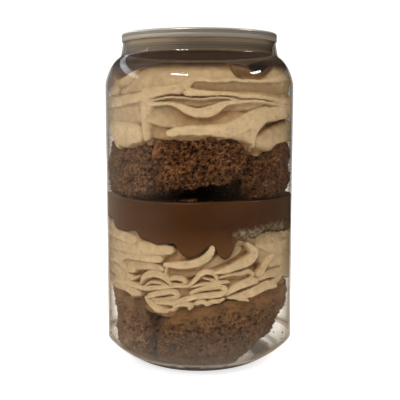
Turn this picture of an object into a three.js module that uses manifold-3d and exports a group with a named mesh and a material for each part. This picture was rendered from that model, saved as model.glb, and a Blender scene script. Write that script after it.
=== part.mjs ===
// Layered chocolate cake in a clear drink can, in millimetres.
// +Z is up and the origin is the centre of the base on the table. The front of the can faces -Y.
// Angles round the can are degrees from the front, growing towards +X.
import * as THREE from 'three';
import { mergeVertices } from 'three/addons/utils/BufferGeometryUtils.js';
import Module from 'manifold-3d';

// ---- Driving dimensions (mm) ----
const HEIGHT = 115.2;           // whole can, base ring to top of the seam
const BODY_RADIUS = 33;         // outside of the straight clear wall
const WALL = 0.5;               // clear wall
const BASE_WALL = 0.7;          // thicker floor of the can
const GAP = 0.3;                // clearance between neighbouring pieces
const STAND_RADIUS = 20;        // outer edge of the flat ring the can stands on
const STAND_WIDTH = 2.6;
const BASE_DOME = 2.6;          // rise of the dished base above the ring
const HEEL_HEIGHT = 8.6;        // sloping heel from the stand ring up to the wall
const HEEL_POWER = 1.65;
const SHOULDER_BASE = 97.6;     // shoulder starts to turn in
const SHOULDER_TOP = 107.2;     // foot of the neck
const SHOULDER_POWER = 1.33;
const NECK_FOOT_RADIUS = 27.6;
const NECK_RADIUS = 26.7;       // just under the seam
const SEAM_RADIUS = 27.2;       // rolled metal edge
const SEAM_HEIGHT = 2.6;
const SEAM_WIDTH = 1.9;
const METAL = 0.5;              // lid sheet, drawn thicker than the real 0.25
const COUNTERSINK_DEPTH = 7.2;  // bottom of the lid's groove below the seam top
const COUNTERSINK_RADIUS = 23.6;
const PANEL_RISE = 1.9;         // lid's flat panel above the groove
const PANEL_RADIUS = 21.8;
const PULL_RIVET_Y = -15.5;     // rivet near the front edge of the panel
const PULL_RIVET_RADIUS = 1.9;
const PULL_THICKNESS = 1.1;
const PULL_LENGTH = 25;
const PULL_WIDTH = 15.5;
const GANACHE_TOP = 59.0;
const CAKE_FLOOR = 3.9;         // underside of the bottom cake, on the crown of the dished base
const BOTTOM_CAKE_TOP = 26.6;
const UPPER_CAKE_TOP = 78.4;
const UPPER_CREAM_EDGE = 97.2;  // upper cream's height at the shoulder, away from its mound
const MOUND_RISE = 7;
const MOUND_CENTRE = [-2, -6];
const MOUND_REACH = [22, 27];
const UPPER_FOLD_DEPTH = 4.2;   // how far the cream falls back from the wall between ribbons
const LOWER_FOLD_DEPTH = 3.0;

// ---- Mesh detail ----
const CAN_STATIONS = 48;
const LAYER_STATIONS = 74;
const CHUNK_STATIONS = 26;
const EVEN_RINGS = [0.35, 0.7, 1];  // share of the way out to the side
const OUTER_RINGS = [0.6, 0.86, 1]; // closer together near the wall

const radians = THREE.MathUtils.degToRad;
const clamp = THREE.MathUtils.clamp;
const smoothstep = THREE.MathUtils.smoothstep;

// ---- Materials ----
const clearPlastic = new THREE.MeshStandardMaterial({
  color: 0xe8ebea, roughness: 0.06, metalness: 0, transparent: true, opacity: 0.25,
});
const lidMetal = new THREE.MeshStandardMaterial({ color: 0xb9b6aa, roughness: 0.32, metalness: 1 });
const tabMetal = new THREE.MeshStandardMaterial({ color: 0xc4c2ba, roughness: 0.28, metalness: 1 });
const cream = new THREE.MeshStandardMaterial({ color: 0xcfb088, roughness: 0.6, metalness: 0 });
const ganacheBrown = new THREE.MeshStandardMaterial({ color: 0x4a2c18, roughness: 0.3, metalness: 0 });
const crumb = new THREE.MeshStandardMaterial({ color: 0x5c3b24, roughness: 0.9, metalness: 0 });

// ---- The can's own shape ----
/** Outside radius of the clear can at a height. */
function outerRadius(height) {
  if (height <= HEEL_HEIGHT) {
    const cosine = Math.pow(1 - Math.max(height, 0) / HEEL_HEIGHT, 1 / HEEL_POWER);
    const sine = Math.sqrt(1 - cosine * cosine);
    return STAND_RADIUS + (BODY_RADIUS - STAND_RADIUS) * Math.pow(sine, HEEL_POWER);
  }
  if (height <= SHOULDER_BASE) return BODY_RADIUS;
  const rise = Math.min((height - SHOULDER_BASE) / (SHOULDER_TOP - SHOULDER_BASE), 1);
  const sine = Math.pow(rise, 1 / SHOULDER_POWER);
  const cosine = Math.sqrt(Math.max(1 - sine * sine, 0));
  return NECK_FOOT_RADIUS + (BODY_RADIUS - NECK_FOOT_RADIUS) * Math.pow(cosine, SHOULDER_POWER);
}

/** Largest radius that the filling reaches at a height: the inside of the wall, less the clearance. */
function fillRadius(height) {
  const lean = WALL + GAP + 0.1;
  const steepest = Math.min(outerRadius(height - lean), outerRadius(height + lean));
  return steepest - lean;
}

/** Outside profile of the can, from the stand ring up to the neck's rim. */
function canOutside() {
  const points = [];
  const heelSteps = 6;
  for (let i = 0; i <= heelSteps; i += 1) {
    const a = (i / heelSteps) * Math.PI / 2;
    const radius = STAND_RADIUS + (BODY_RADIUS - STAND_RADIUS) * Math.pow(Math.sin(a), HEEL_POWER);
    points.push(new THREE.Vector2(radius, HEEL_HEIGHT * (1 - Math.pow(Math.cos(a), HEEL_POWER))));
  }
  const shoulderSteps = 6;
  for (let i = 0; i <= shoulderSteps; i += 1) {
    const a = (i / shoulderSteps) * Math.PI / 2;
    const reach = (BODY_RADIUS - NECK_FOOT_RADIUS) * Math.pow(Math.cos(a), SHOULDER_POWER);
    const rise = (SHOULDER_TOP - SHOULDER_BASE) * Math.pow(Math.sin(a), SHOULDER_POWER);
    points.push(new THREE.Vector2(NECK_FOOT_RADIUS + reach, SHOULDER_BASE + rise));
  }
  points.push(new THREE.Vector2(NECK_RADIUS, HEIGHT - SEAM_HEIGHT - GAP));
  return points;
}

/** The same profile moved inwards by the wall, point by point along its normals. */
function offsetInwards(points, distance) {
  return points.map((point, i) => {
    const before = points[Math.max(i - 1, 0)];
    const after = points[Math.min(i + 1, points.length - 1)];
    const along = after.clone().sub(before).normalize();
    return new THREE.Vector2(point.x - along.y * distance, point.y + along.x * distance);
  });
}

/** Revolves a profile of (radius, height) points, given so that it runs up the outside. */
function revolve(profile, stations) {
  const geometry = new THREE.LatheGeometry(profile, stations);
  geometry.rotateX(Math.PI / 2);
  return geometry;
}

function canBody() {
  const outside = canOutside();
  const inside = offsetInwards(outside, WALL);
  inside[0].set(STAND_RADIUS - BASE_WALL, BASE_WALL);
  inside[inside.length - 1].y = outside[outside.length - 1].y;
  const ringInner = STAND_RADIUS - STAND_WIDTH;
  const dishShoulder = [ringInner * 0.6, BASE_DOME * 0.78];
  const profile = [
    new THREE.Vector2(0, BASE_DOME),
    new THREE.Vector2(...dishShoulder),
    new THREE.Vector2(ringInner, 0),
    ...outside,
    ...inside.reverse(),
    new THREE.Vector2(dishShoulder[0], dishShoulder[1] + BASE_WALL),
    new THREE.Vector2(0, BASE_DOME + BASE_WALL),
  ];
  return revolve(profile, CAN_STATIONS);
}

// ---- Joins and cuts ----
const wasm = await Module();
wasm.setup();

/** A three.js geometry as a solid for joining and cutting, its equal vertices merged. */
function toSolid(geometry) {
  const bare = geometry.clone();
  bare.deleteAttribute('normal');
  bare.deleteAttribute('uv');
  const merged = mergeVertices(bare, 1e-4);
  const kept = [];
  const index = merged.index.array;
  for (let i = 0; i < index.length; i += 3) {
    const [a, b, c] = [index[i], index[i + 1], index[i + 2]];
    if (a !== b && b !== c && c !== a) kept.push(a, b, c);
  }
  return new wasm.Manifold(new wasm.Mesh({
    numProp: 3,
    vertProperties: new Float32Array(merged.attributes.position.array),
    triVerts: new Uint32Array(kept),
  }));
}

function fromSolid(solid) {
  const mesh = solid.getMesh();
  const geometry = new THREE.BufferGeometry();
  geometry.setAttribute('position', new THREE.BufferAttribute(mesh.vertProperties, 3));
  geometry.setIndex(new THREE.BufferAttribute(mesh.triVerts, 1));
  return geometry;
}

// ---- Metal lid and its pull ----
const PANEL_TOP = HEIGHT - COUNTERSINK_DEPTH + PANEL_RISE + METAL;

/** Seamed lid: rolled edge, wall down to the groove, and the flat panel with its rivet. */
function lidEnd() {
  const seamInner = SEAM_RADIUS - SEAM_WIDTH;
  const seamBottom = HEIGHT - SEAM_HEIGHT;
  const grooveBottom = HEIGHT - COUNTERSINK_DEPTH;
  const profile = [
    [0, PANEL_TOP - METAL],
    [PANEL_RADIUS - 0.3, PANEL_TOP - METAL],
    [COUNTERSINK_RADIUS - 0.9, grooveBottom],
    [COUNTERSINK_RADIUS + 0.6, grooveBottom],
    [seamInner + 0.05, seamBottom],
    [SEAM_RADIUS - 0.35, seamBottom],
    [SEAM_RADIUS, seamBottom + 0.5],
    [SEAM_RADIUS, HEIGHT - 0.6],
    [SEAM_RADIUS - 0.6, HEIGHT],
    [seamInner + 0.3, HEIGHT],
    [seamInner - METAL, HEIGHT - 0.5],
    [COUNTERSINK_RADIUS + 0.1, grooveBottom + METAL],
    [COUNTERSINK_RADIUS - 0.6, grooveBottom + METAL],
    [PANEL_RADIUS, PANEL_TOP],
    [0, PANEL_TOP],
  ].map(([radius, height]) => new THREE.Vector2(radius, height));
  const rivetProfile = [
    [0, -METAL / 2],
    [PULL_RIVET_RADIUS, -METAL / 2],
    [PULL_RIVET_RADIUS, GAP * 2 + PULL_THICKNESS],
    [PULL_RIVET_RADIUS + 1.1, GAP * 2 + PULL_THICKNESS],
    [PULL_RIVET_RADIUS + 0.9, GAP * 2 + PULL_THICKNESS + 0.5],
    [0, GAP * 2 + PULL_THICKNESS + 0.7],
  ].map(([radius, height]) => new THREE.Vector2(radius, height));
  const rivet = revolve(rivetProfile, 20);
  rivet.translate(0, PULL_RIVET_Y, PANEL_TOP);
  return fromSolid(toSolid(revolve(profile, CAN_STATIONS)).add(toSolid(rivet)));
}

/** Ring pull: a rounded plate with a finger hole and a hole for the rivet. */
function pullTab() {
  const half = PULL_WIDTH / 2;
  const nose = half * 0.62;
  const tail = PULL_LENGTH - 4.6;
  const plate = new THREE.Shape();
  plate.absarc(0, tail - half, half, 0, Math.PI, false);
  plate.lineTo(-nose, 0);
  plate.absarc(0, 0, nose, Math.PI, 2 * Math.PI, false);
  plate.closePath();
  const finger = new THREE.Path();
  finger.absellipse(0, tail - half, half - 2.3, half - 2.5, 0, 2 * Math.PI, true, 0);
  const eye = new THREE.Path();
  eye.absarc(0, 0, PULL_RIVET_RADIUS + GAP, 0, 2 * Math.PI, true);
  plate.holes.push(finger, eye);
  const geometry = new THREE.ExtrudeGeometry(plate, {
    depth: PULL_THICKNESS, bevelEnabled: false, curveSegments: 10,
  });
  geometry.translate(0, PULL_RIVET_Y, PANEL_TOP + GAP);
  return geometry;
}

// ---- Shapes of the food ----
/** Bell of height 1 round an angle, falling to about a third at the given spread. */
function bell(angle, centre, spread) {
  const away = THREE.MathUtils.euclideanModulo(angle - centre + 180, 360) - 180;
  return Math.exp(-((away / spread) ** 2));
}

const angleOf = (x, y) => THREE.MathUtils.radToDeg(Math.atan2(x, -y));

/** Mixes a height at the centre with a height that varies round the wall. */
function spread(x, y, centreHeight, wallHeight) {
  const share = clamp(Math.hypot(x, y) / BODY_RADIUS, 0, 1) ** 2;
  return centreHeight + (wallHeight - centreHeight) * share;
}

/** Where the lower cream sits on the bottom cake: lowest at the front left, higher at both sides. */
function bottomCakeTop(x, y) {
  const angle = angleOf(x, y);
  const rim = BOTTOM_CAKE_TOP - 3.0 * bell(angle, -20, 26) + 2.6 * bell(angle, 62, 34)
    + 2.0 * bell(angle, -64, 24) - 1.4 * bell(angle, 170, 30);
  return spread(x, y, BOTTOM_CAKE_TOP + 0.6, rim);
}

// Ganache runs down between the cream and the wall: [angle, length, half width in degrees].
const DRIPS = [[-6, 5.4, 7], [14.5, 5.2, 5], [-26, 1.2, 9], [98, 4.4, 8], [128, 2.2, 6],
  [163, 5.0, 9], [-152, 3.2, 7], [-118, 4.8, 8]];

/** Lower edge of the ganache: high at both sides of the front, with the drips hanging from it. */
function ganacheBottom(x, y) {
  const angle = angleOf(x, y);
  let rim = 48.2 + 3.4 * bell(angle, -76, 15) - 1.6 * bell(angle, -16, 26);
  for (const [centre, length, width] of DRIPS) rim -= length * bell(angle, centre, width);
  const share = smoothstep(Math.hypot(x, y), 20, BODY_RADIUS - 1);
  return 50.5 + (rim - 50.5) * share;
}

/** Where the upper cream sits on the upper cakes: the middle chunk stands higher at the front. */
function upperCakeTop(x, y) {
  const angle = angleOf(x, y);
  const rim = UPPER_CAKE_TOP + 2.6 * bell(angle, -4, 30) - 3.2 * bell(angle, 40, 12)
    - 2.2 * bell(angle, -54, 15) - 1.2 * bell(angle, 140, 25) + 0.9 * bell(angle, -140, 25);
  return spread(x, y, UPPER_CAKE_TOP + 0.6, rim);
}

/** Top of the upper cream: a broad mound at the front left, lower all round the shoulder. */
function upperCreamTop(x, y) {
  const away = Math.hypot((x - MOUND_CENTRE[0]) / MOUND_REACH[0], (y - MOUND_CENTRE[1]) / MOUND_REACH[1]);
  const mound = 1 - smoothstep(away, 0.7, 1.35);
  const swirl = 0.8 * Math.sin(0.32 * x + 0.5) * Math.cos(0.28 * y);
  return UPPER_CREAM_EDGE + MOUND_RISE * mound + swirl * (1 - 0.7 * mound);
}

/**
 * Ribbons of cream pressed on the wall. Each is [half width, [angle, height], ...], and the
 * centre line is a smooth curve through the points.
 */
const UPPER_RIBBONS = [
  [5.0, [-78, 96.5], [-48, 99.5], [-20, 101], [12, 101]],
  [2.3, [-70, 91.6], [-40, 93.6], [-10, 96], [10, 94.4], [45, 93.6], [82, 93.6]],
  [2.2, [22, 99.4], [52, 99.6], [84, 97.4]],
  [2.1, [-34, 91.4], [-18, 90.2], [4, 87.4], [24, 90.4], [46, 91.2], [66, 89.9]],
  [2.6, [-18, 82.7], [2, 82.7], [20, 83.8], [34, 87]],
  [2.3, [80, 90], [52, 87.6], [40, 84.4], [33, 78]],
  [3.0, [42, 78.6], [60, 79.4], [84, 80]],
  [3.9, [-68, 80.6], [-52, 80.4], [-40, 81]],
  [2.2, [-30, 92], [-33, 85], [-32, 79.4]],
  [2.4, [-72, 87.4], [-56, 87.2], [-42, 87.6]],
];
const LOWER_RIBBONS = [
  [1.9, [-21, 38], [-5, 40], [4, 42.4], [8, 45.6]],
  [2.6, [-76, 47], [-56, 45.6], [-38, 45.4]],
  [2.0, [-64, 42], [-46, 39.6], [-30, 41.8]],
  [2.2, [-36, 33.6], [-30, 36.4], [-22, 35.6], [-14, 33.4]],
  [1.9, [-66, 35.8], [-50, 32.4], [-36, 30.2], [-18, 31.4]],
  [2.1, [-33, 28.6], [-26, 26], [-16, 25.6], [-4, 27.4]],
  [2.0, [-14, 30], [2, 31.2], [16, 33.2], [22, 31]],
  [2.0, [-6, 35.6], [6, 34], [20, 34.4], [36, 35.4]],
  [2.2, [8, 38.6], [18, 40], [30, 42.6], [42, 44]],
  [2.2, [20, 29.4], [36, 31.6], [54, 31.8]],
  [2.2, [4, 28.2], [16, 28.4], [30, 29.2]],
  [2.6, [46, 36], [60, 38.4], [80, 37]],
  [2.6, [48, 42.4], [66, 43.8], [82, 42]],
  [2.2, [-74, 30.8], [-58, 31], [-44, 29]],
];

/** Waving ribbons that carry on round the back, row above row, between two heights. */
function backRibbons({ rows, low, high, halfWidth, wave }) {
  const ribbons = [];
  for (let row = 0; row < rows; row += 1) {
    const height = low + (high - low) * (row / (rows - 1));
    for (let part = 0; part < 2; part += 1) {
      const start = 84 + part * 98 + 9 * Math.sin(2.3 * row + part);
      const points = [];
      for (let step = 0; step <= 4; step += 1) {
        const phase = 1.9 * row + 2.6 * part + 1.45 * step;
        points.push([start + step * 23, height + wave * Math.sin(phase)]);
      }
      ribbons.push([halfWidth, ...points]);
    }
  }
  return ribbons;
}

/** Samples every ribbon's smooth centre line, as [angle, height, half width] triples. */
function sampleRibbons(ribbons) {
  const samples = [];
  for (const [halfWidth, ...points] of ribbons) {
    const knots = points.map(([angle, height]) => new THREE.Vector3(angle, height, 0));
    const line = new THREE.CatmullRomCurve3(knots, false, 'centripetal');
    for (const knot of line.getSpacedPoints(36)) samples.push([knot.x, knot.y, halfWidth]);
  }
  return samples;
}

/** How far the cream falls back from the wall: nothing on a ribbon's face, most between ribbons. */
function foldDepth(samples, depth, angle, height) {
  let best = depth;
  for (const [sampleAngle, sampleHeight, halfWidth] of samples) {
    const turn = THREE.MathUtils.euclideanModulo(angle - sampleAngle + 180, 360) - 180;
    const across = radians(turn) * BODY_RADIUS;
    const away = Math.hypot(across, height - sampleHeight) / halfWidth;
    if (away < 1) best = Math.min(best, depth * (1 - Math.cbrt(1 - away ** 3)));
  }
  return best;
}

/**
 * A closed piece of food that is star-shaped about a centre: reach(direction, height, share) is how
 * far its side stands from the centre, and bottom(x, y) and top(x, y) are its two faces.
 */
function foodSolid({ centre = [0, 0], reach, bottom, top, stations, rings, levels }) {
  const positions = [];
  const index = [];
  const addPoint = (x, y, z) => positions.push(x, y, z) / 3 - 1; // returns the new point's number
  const loops = [];
  const middle = (bottom(...centre) + top(...centre)) / 2;
  const columns = [];
  for (let s = 0; s < stations; s += 1) {
    const direction = (s / stations) * 2 * Math.PI;
    const unit = [Math.sin(direction), -Math.cos(direction)];
    const nominal = reach(direction, middle, 0.5);
    const x = centre[0] + unit[0] * nominal;
    const y = centre[1] + unit[1] * nominal;
    columns.push({ direction, unit, low: bottom(x, y), high: top(x, y) });
  }
  const sidePoint = (column, share) => {
    const height = column.low + (column.high - column.low) * share;
    return { out: reach(column.direction, height, share), height };
  };
  const addLoop = (point) => loops.push(columns.map((column) => {
    const { out, height } = point(column);
    return addPoint(centre[0] + column.unit[0] * out, centre[1] + column.unit[1] * out, height);
  }));
  const faceLoop = (face, share, ring) => addLoop((column) => {
    const out = sidePoint(column, share).out * ring;
    const x = centre[0] + column.unit[0] * out;
    const y = centre[1] + column.unit[1] * out;
    return { out, height: face(x, y) };
  });
  const inner = rings.slice(0, -1);
  for (const ring of inner) faceLoop(bottom, 0, ring);
  for (let level = 0; level <= levels; level += 1) addLoop((c) => sidePoint(c, level / levels));
  for (const ring of inner.reverse()) faceLoop(top, 1, ring);
  for (let l = 0; l + 1 < loops.length; l += 1) {
    for (let s = 0; s < stations; s += 1) {
      const next = (s + 1) % stations;
      index.push(loops[l][s], loops[l][next], loops[l + 1][next]);
      index.push(loops[l][s], loops[l + 1][next], loops[l + 1][s]);
    }
  }
  const lowPole = addPoint(...centre, bottom(...centre));
  const highPole = addPoint(...centre, top(...centre));
  const last = loops[loops.length - 1];
  for (let s = 0; s < stations; s += 1) {
    const next = (s + 1) % stations;
    index.push(lowPole, loops[0][next], loops[0][s]);
    index.push(highPole, last[s], last[next]);
  }
  const geometry = new THREE.BufferGeometry();
  geometry.setAttribute('position', new THREE.Float32BufferAttribute(positions, 3));
  geometry.setIndex(index);
  return geometry;
}

function upperCream() {
  const back = backRibbons({ rows: 5, low: 82, high: 100, halfWidth: 2.5, wave: 1.3 });
  const samples = sampleRibbons([...UPPER_RIBBONS, ...back]);
  return foodSolid({
    reach: (direction, height) => {
      const fold = foldDepth(samples, UPPER_FOLD_DEPTH, THREE.MathUtils.radToDeg(direction), height);
      return fillRadius(height) - fold;
    },
    bottom: (x, y) => upperCakeTop(x, y) + GAP,
    top: upperCreamTop,
    stations: LAYER_STATIONS,
    rings: EVEN_RINGS,
    levels: 12,
  });
}

function lowerCream() {
  const back = backRibbons({ rows: 5, low: 28.5, high: 45.5, halfWidth: 2.0, wave: 1.5 });
  const samples = sampleRibbons([...LOWER_RIBBONS, ...back]);
  const whole = foodSolid({
    reach: (direction, height) => {
      const fold = foldDepth(samples, LOWER_FOLD_DEPTH, THREE.MathUtils.radToDeg(direction), height);
      return fillRadius(height) - fold;
    },
    bottom: (x, y) => bottomCakeTop(x, y) + GAP,
    top: (x, y) => ganacheBottom(x, y) - GAP * 2,
    stations: LAYER_STATIONS,
    rings: OUTER_RINGS,
    levels: 10,
  });
  const clearance = ganache().translate(0, 0, -GAP * 1.8);
  return fromSolid(toSolid(whole).subtract(toSolid(clearance)));
}

function ganache() {
  return foodSolid({
    reach: (direction, height) => fillRadius(height),
    bottom: ganacheBottom,
    top: () => GANACHE_TOP,
    stations: LAYER_STATIONS,
    rings: OUTER_RINGS,
    levels: 1,
  });
}

/** How deep a torn side is bitten in, between 0 and twice the depth: three waves added up. */
function crag(direction, height, seed, depth) {
  const wave = Math.sin(3 * direction + 0.55 * height + seed)
    + 0.7 * Math.sin(7 * direction - 0.9 * height + 2.1 * seed)
    + 0.5 * Math.sin(11 * direction + 1.3 * height + 3.7 * seed);
  return depth * (1 - wave / 2.2);
}

/**
 * A torn chunk of cake. It fills the can out to `inset` from the wall, and stops at its cuts:
 * each cut is [angle it faces, distance from the can's axis] of a straight side.
 */
function cakeChunk({ centre, cuts, inset, bottom, top, seed, roundness = 0.1, tuck }) {
  const [cx, cy] = centre;
  const reach = (direction, height, share) => {
    const unit = [Math.sin(direction), -Math.cos(direction)];
    const along = cx * unit[0] + cy * unit[1];
    const wallRadius = fillRadius(height) - inset;
    const toWall = -along + Math.sqrt(along ** 2 - (cx ** 2 + cy ** 2) + wallRadius ** 2);
    let sum = toWall ** -8;
    for (const [faceAngle, distance] of cuts) {
      const normal = [Math.sin(radians(faceAngle)), -Math.cos(radians(faceAngle))];
      const facing = unit[0] * normal[0] + unit[1] * normal[1];
      if (facing < 0.05) continue;
      sum += ((distance - cx * normal[0] - cy * normal[1]) / facing) ** -8;
    }
    const limit = sum ** (-1 / 8);
    const edgeRounding = 1 - roundness * Math.abs(2 * share - 1) ** 3;
    const tucked = tuck ? tuck(direction, height) : 0;
    return Math.max(limit * edgeRounding - crag(direction, height, seed, 0.6) - tucked, 2);
  };
  const detail = { stations: CHUNK_STATIONS, rings: EVEN_RINGS, levels: 5 };
  return foodSolid({ centre, reach, bottom, top, ...detail });
}

const belowUpperCream = (x, y) => upperCakeTop(x, y) - GAP * 2;
const belowLowerCream = (x, y) => bottomCakeTop(x, y) - GAP * 2;
const onGanache = (x, y) => GANACHE_TOP + GAP + 0.3 + 0.3 * Math.sin(0.5 * x + 0.4 * y);

// The three upper chunks meet at a hub, and are torn apart along lines from it to the wall.
const UPPER_HUB = [0, 2];
const TEAR_LEFT = -29;          // where the tears reach the wall, in degrees from the front
const TEAR_RIGHT = 31.5;
const TEAR_BACK = 180;
const TEAR_HALF_WIDTH = 0.6;

/** The cut along the line from the hub to the wall at an angle; side is +1 for the piece before it. */
function tearCut(angle, side) {
  const wall = [BODY_RADIUS * Math.sin(radians(angle)), -BODY_RADIUS * Math.cos(radians(angle))];
  const run = new THREE.Vector2(wall[0] - UPPER_HUB[0], wall[1] - UPPER_HUB[1]).normalize();
  const normal = [-run.y * side, run.x * side];
  const distance = normal[0] * UPPER_HUB[0] + normal[1] * UPPER_HUB[1] - TEAR_HALF_WIDTH;
  return [angleOf(...normal), distance];
}

function upperCakeMain() {
  return cakeChunk({
    centre: [0, -16],
    cuts: [tearCut(TEAR_LEFT, -1), tearCut(TEAR_RIGHT, 1)],
    inset: 0.1,
    bottom: (x) => 64.2 + 0.12 * x + 0.4 * Math.sin(0.6 * x),
    top: belowUpperCream,
    seed: 1.3,
  });
}

function upperCakeLeft() {
  return cakeChunk({
    centre: [-16, 6],
    cuts: [tearCut(TEAR_LEFT, 1), tearCut(TEAR_BACK, -1)],
    inset: 1.4,
    bottom: onGanache,
    top: belowUpperCream,
    seed: 4.1,
  });
}

function upperCakeRight() {
  return cakeChunk({
    centre: [16, 6],
    cuts: [tearCut(TEAR_RIGHT, -1), tearCut(TEAR_BACK, 1)],
    inset: 0.4,
    bottom: onGanache,
    top: belowUpperCream,
    seed: 7.7,
  });
}

function bottomCakeLeft() {
  return cakeChunk({
    centre: [-19, 2],
    cuts: [[72, -6.8]],
    inset: 1.4,
    bottom: () => CAKE_FLOOR,
    top: belowLowerCream,
    seed: 2.9,
  });
}

function bottomCakeMain() {
  return cakeChunk({
    centre: [9, -4],
    cuts: [[-108, 5.2]],
    inset: 0.4,
    bottom: () => CAKE_FLOOR,
    top: belowLowerCream,
    seed: 5.5,
    // The right side is torn away underneath, so that the clear heel is empty there.
    tuck: (direction, height) => {
      const rightSide = Math.exp(-(((direction - Math.PI * 0.4) / 0.8) ** 2));
      return 14 * rightSide * (1 - smoothstep(height, 3, 25));
    },
  });
}

// ---- The finished can ----
function namedMesh(name, geometry, material) {
  const mesh = new THREE.Mesh(geometry, material);
  mesh.name = name;
  return mesh;
}

const can = new THREE.Group();
can.add(
  namedMesh('can_body', canBody(), clearPlastic),
  namedMesh('lid_end', lidEnd(), lidMetal),
  namedMesh('pull_tab', pullTab(), tabMetal),
  namedMesh('upper_cream', upperCream(), cream),
  namedMesh('upper_cake_main', upperCakeMain(), crumb),
  namedMesh('upper_cake_left', upperCakeLeft(), crumb),
  namedMesh('upper_cake_right', upperCakeRight(), crumb),
  namedMesh('ganache', ganache(), ganacheBrown),
  namedMesh('lower_cream', lowerCream(), cream),
  namedMesh('bottom_cake_main', bottomCakeMain(), crumb),
  namedMesh('bottom_cake_left', bottomCakeLeft(), crumb),
);

export default can;
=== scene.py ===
# %% [markdown]
# # A layered chocolate cake in a clear drink can
# The can is clear plastic with a seamed metal end. Inside, from the table up, lie torn chocolate cake,
# ruffled cream, a dark ganache, more torn cake, and ribbons of cream under the shoulder. The packed frame
# holds every piece at its real size; this lesson replaces the plain pieces one by one with the surfaces
# that the eye sees.

# %% Load the frame
import math
import bpy
import numpy as np
from mathutils import Matrix, Vector


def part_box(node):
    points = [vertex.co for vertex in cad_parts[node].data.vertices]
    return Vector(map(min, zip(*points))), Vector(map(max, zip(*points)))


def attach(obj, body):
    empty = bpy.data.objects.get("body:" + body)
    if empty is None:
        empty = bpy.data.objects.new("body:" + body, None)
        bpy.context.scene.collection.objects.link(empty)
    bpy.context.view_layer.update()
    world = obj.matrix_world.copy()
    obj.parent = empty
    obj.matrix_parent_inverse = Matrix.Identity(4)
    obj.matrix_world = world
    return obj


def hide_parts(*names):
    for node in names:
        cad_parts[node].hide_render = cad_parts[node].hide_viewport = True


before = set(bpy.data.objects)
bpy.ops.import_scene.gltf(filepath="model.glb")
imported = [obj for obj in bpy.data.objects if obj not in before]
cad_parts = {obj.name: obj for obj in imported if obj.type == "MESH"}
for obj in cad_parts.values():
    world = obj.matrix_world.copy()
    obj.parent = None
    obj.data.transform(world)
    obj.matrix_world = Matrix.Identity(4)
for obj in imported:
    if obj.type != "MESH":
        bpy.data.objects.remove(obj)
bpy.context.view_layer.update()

print("nodes:", sorted(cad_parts))

# %% [markdown]
# Sizes are easier to read in millimetres, and Blender works in metres, so shapes are worked out in
# millimetres and scaled once, when they become a mesh. The can's radius and height come from the frame.
# Angles round the can are degrees from the front (-Y), growing towards +X.

# %% Sizes from the frame
MM = 0.001
can_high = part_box("can_body")[1]
lid_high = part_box("lid_end")[1]
BODY_RADIUS = can_high.x / MM
HEIGHT = lid_high.z / MM
SEAM_RADIUS = lid_high.x / MM
WALL = 0.5
INSIDE = BODY_RADIUS - WALL
IN_WALL = INSIDE + 0.14       # food that is pressed on the wall reaches this far, just into the plastic
print(f"can: radius {BODY_RADIUS:.1f} mm, height {HEIGHT:.1f} mm, seam radius {SEAM_RADIUS:.1f} mm")

# %% [markdown]
# The camera stands where the photographer's did: about 30 cm away, a little below the shoulder, and looking
# slightly down.

# %% Camera
IMAGE_WIDTH = 400
FOCAL_PIXELS = 832.2
SENSOR = 36.0
CAMERA_PLACE = (0, -0.2976, 0.0875)
CAMERA_TILT = 0.1028
CAMERA_SHIFT = 0.0016
camera_data = bpy.data.cameras.new("camera")
camera_data.sensor_width = SENSOR
camera_data.lens = FOCAL_PIXELS * SENSOR / IMAGE_WIDTH
camera_data.shift_x = CAMERA_SHIFT
camera_data.clip_start = 0.01
camera = bpy.data.objects.new("camera", camera_data)
camera.location = CAMERA_PLACE
camera.rotation_euler = (math.radians(90) - CAMERA_TILT, 0, 0)
bpy.context.scene.collection.objects.link(camera)
bpy.context.scene.camera = camera
bpy.context.scene.view_settings.view_transform = "Standard"
print(f"lens {camera_data.lens:.1f} mm on a {SENSOR:.0f} mm sensor")

# %% [markdown]
# ## Turning arrays into meshes
# Every piece here is a grid of points: rows going up or inwards, columns going round. A numpy array holds
# all the points at once, and foreach_set copies it into the mesh, which is far quicker than adding vertices
# one by one.

# %% Mesh helpers
def full_turn(count):
    """Evenly spaced turns round the can, in radians from the front."""
    return np.arange(count) * 2 * math.pi / count


def half_turns(turn):
    """The same turn, counted from minus half a turn to half a turn."""
    return (turn + math.pi) % (2 * math.pi) - math.pi


def facing(turn):
    """The flat unit step away from the axis at a turn."""
    return np.stack([np.sin(turn), -np.cos(turn)], -1)


def around(turn, radius, height):
    """The points at a turn, a distance from the axis and a height."""
    return np.stack(np.broadcast_arrays(radius * np.sin(turn), -radius * np.cos(turn), height), -1)


def make_object(name, points, quads, triangles=None, attributes=None, sharp_angle=None):
    """A mesh object from points in millimetres, four-cornered faces and three-cornered ones."""
    triangles = np.zeros((0, 3), int) if triangles is None else triangles
    mesh = bpy.data.meshes.new(name)
    corners = np.concatenate([quads.ravel(), triangles.ravel()]).astype(np.int32)
    sizes = np.concatenate([np.full(len(quads), 4), np.full(len(triangles), 3)])
    starts = np.concatenate([[0], np.cumsum(sizes)[:-1]]).astype(np.int32)
    mesh.vertices.add(len(points))
    mesh.vertices.foreach_set("co", (points * MM).astype(np.float32).ravel())
    mesh.loops.add(len(corners))
    mesh.loops.foreach_set("vertex_index", corners)
    mesh.polygons.add(len(sizes))
    mesh.polygons.foreach_set("loop_start", starts)
    mesh.polygons.foreach_set("use_smooth", np.ones(len(sizes), bool))
    mesh.update(calc_edges=True)
    mesh.validate()
    for key, values in (attributes or {}).items():
        layer = mesh.attributes.new(key, "FLOAT", "POINT")
        layer.data.foreach_set("value", values.astype(np.float32).ravel())
    if sharp_angle is not None:
        mesh.set_sharp_from_angle(angle=math.radians(sharp_angle))
    piece = bpy.data.objects.new(name, mesh)
    bpy.context.scene.collection.objects.link(piece)
    return piece


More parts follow.
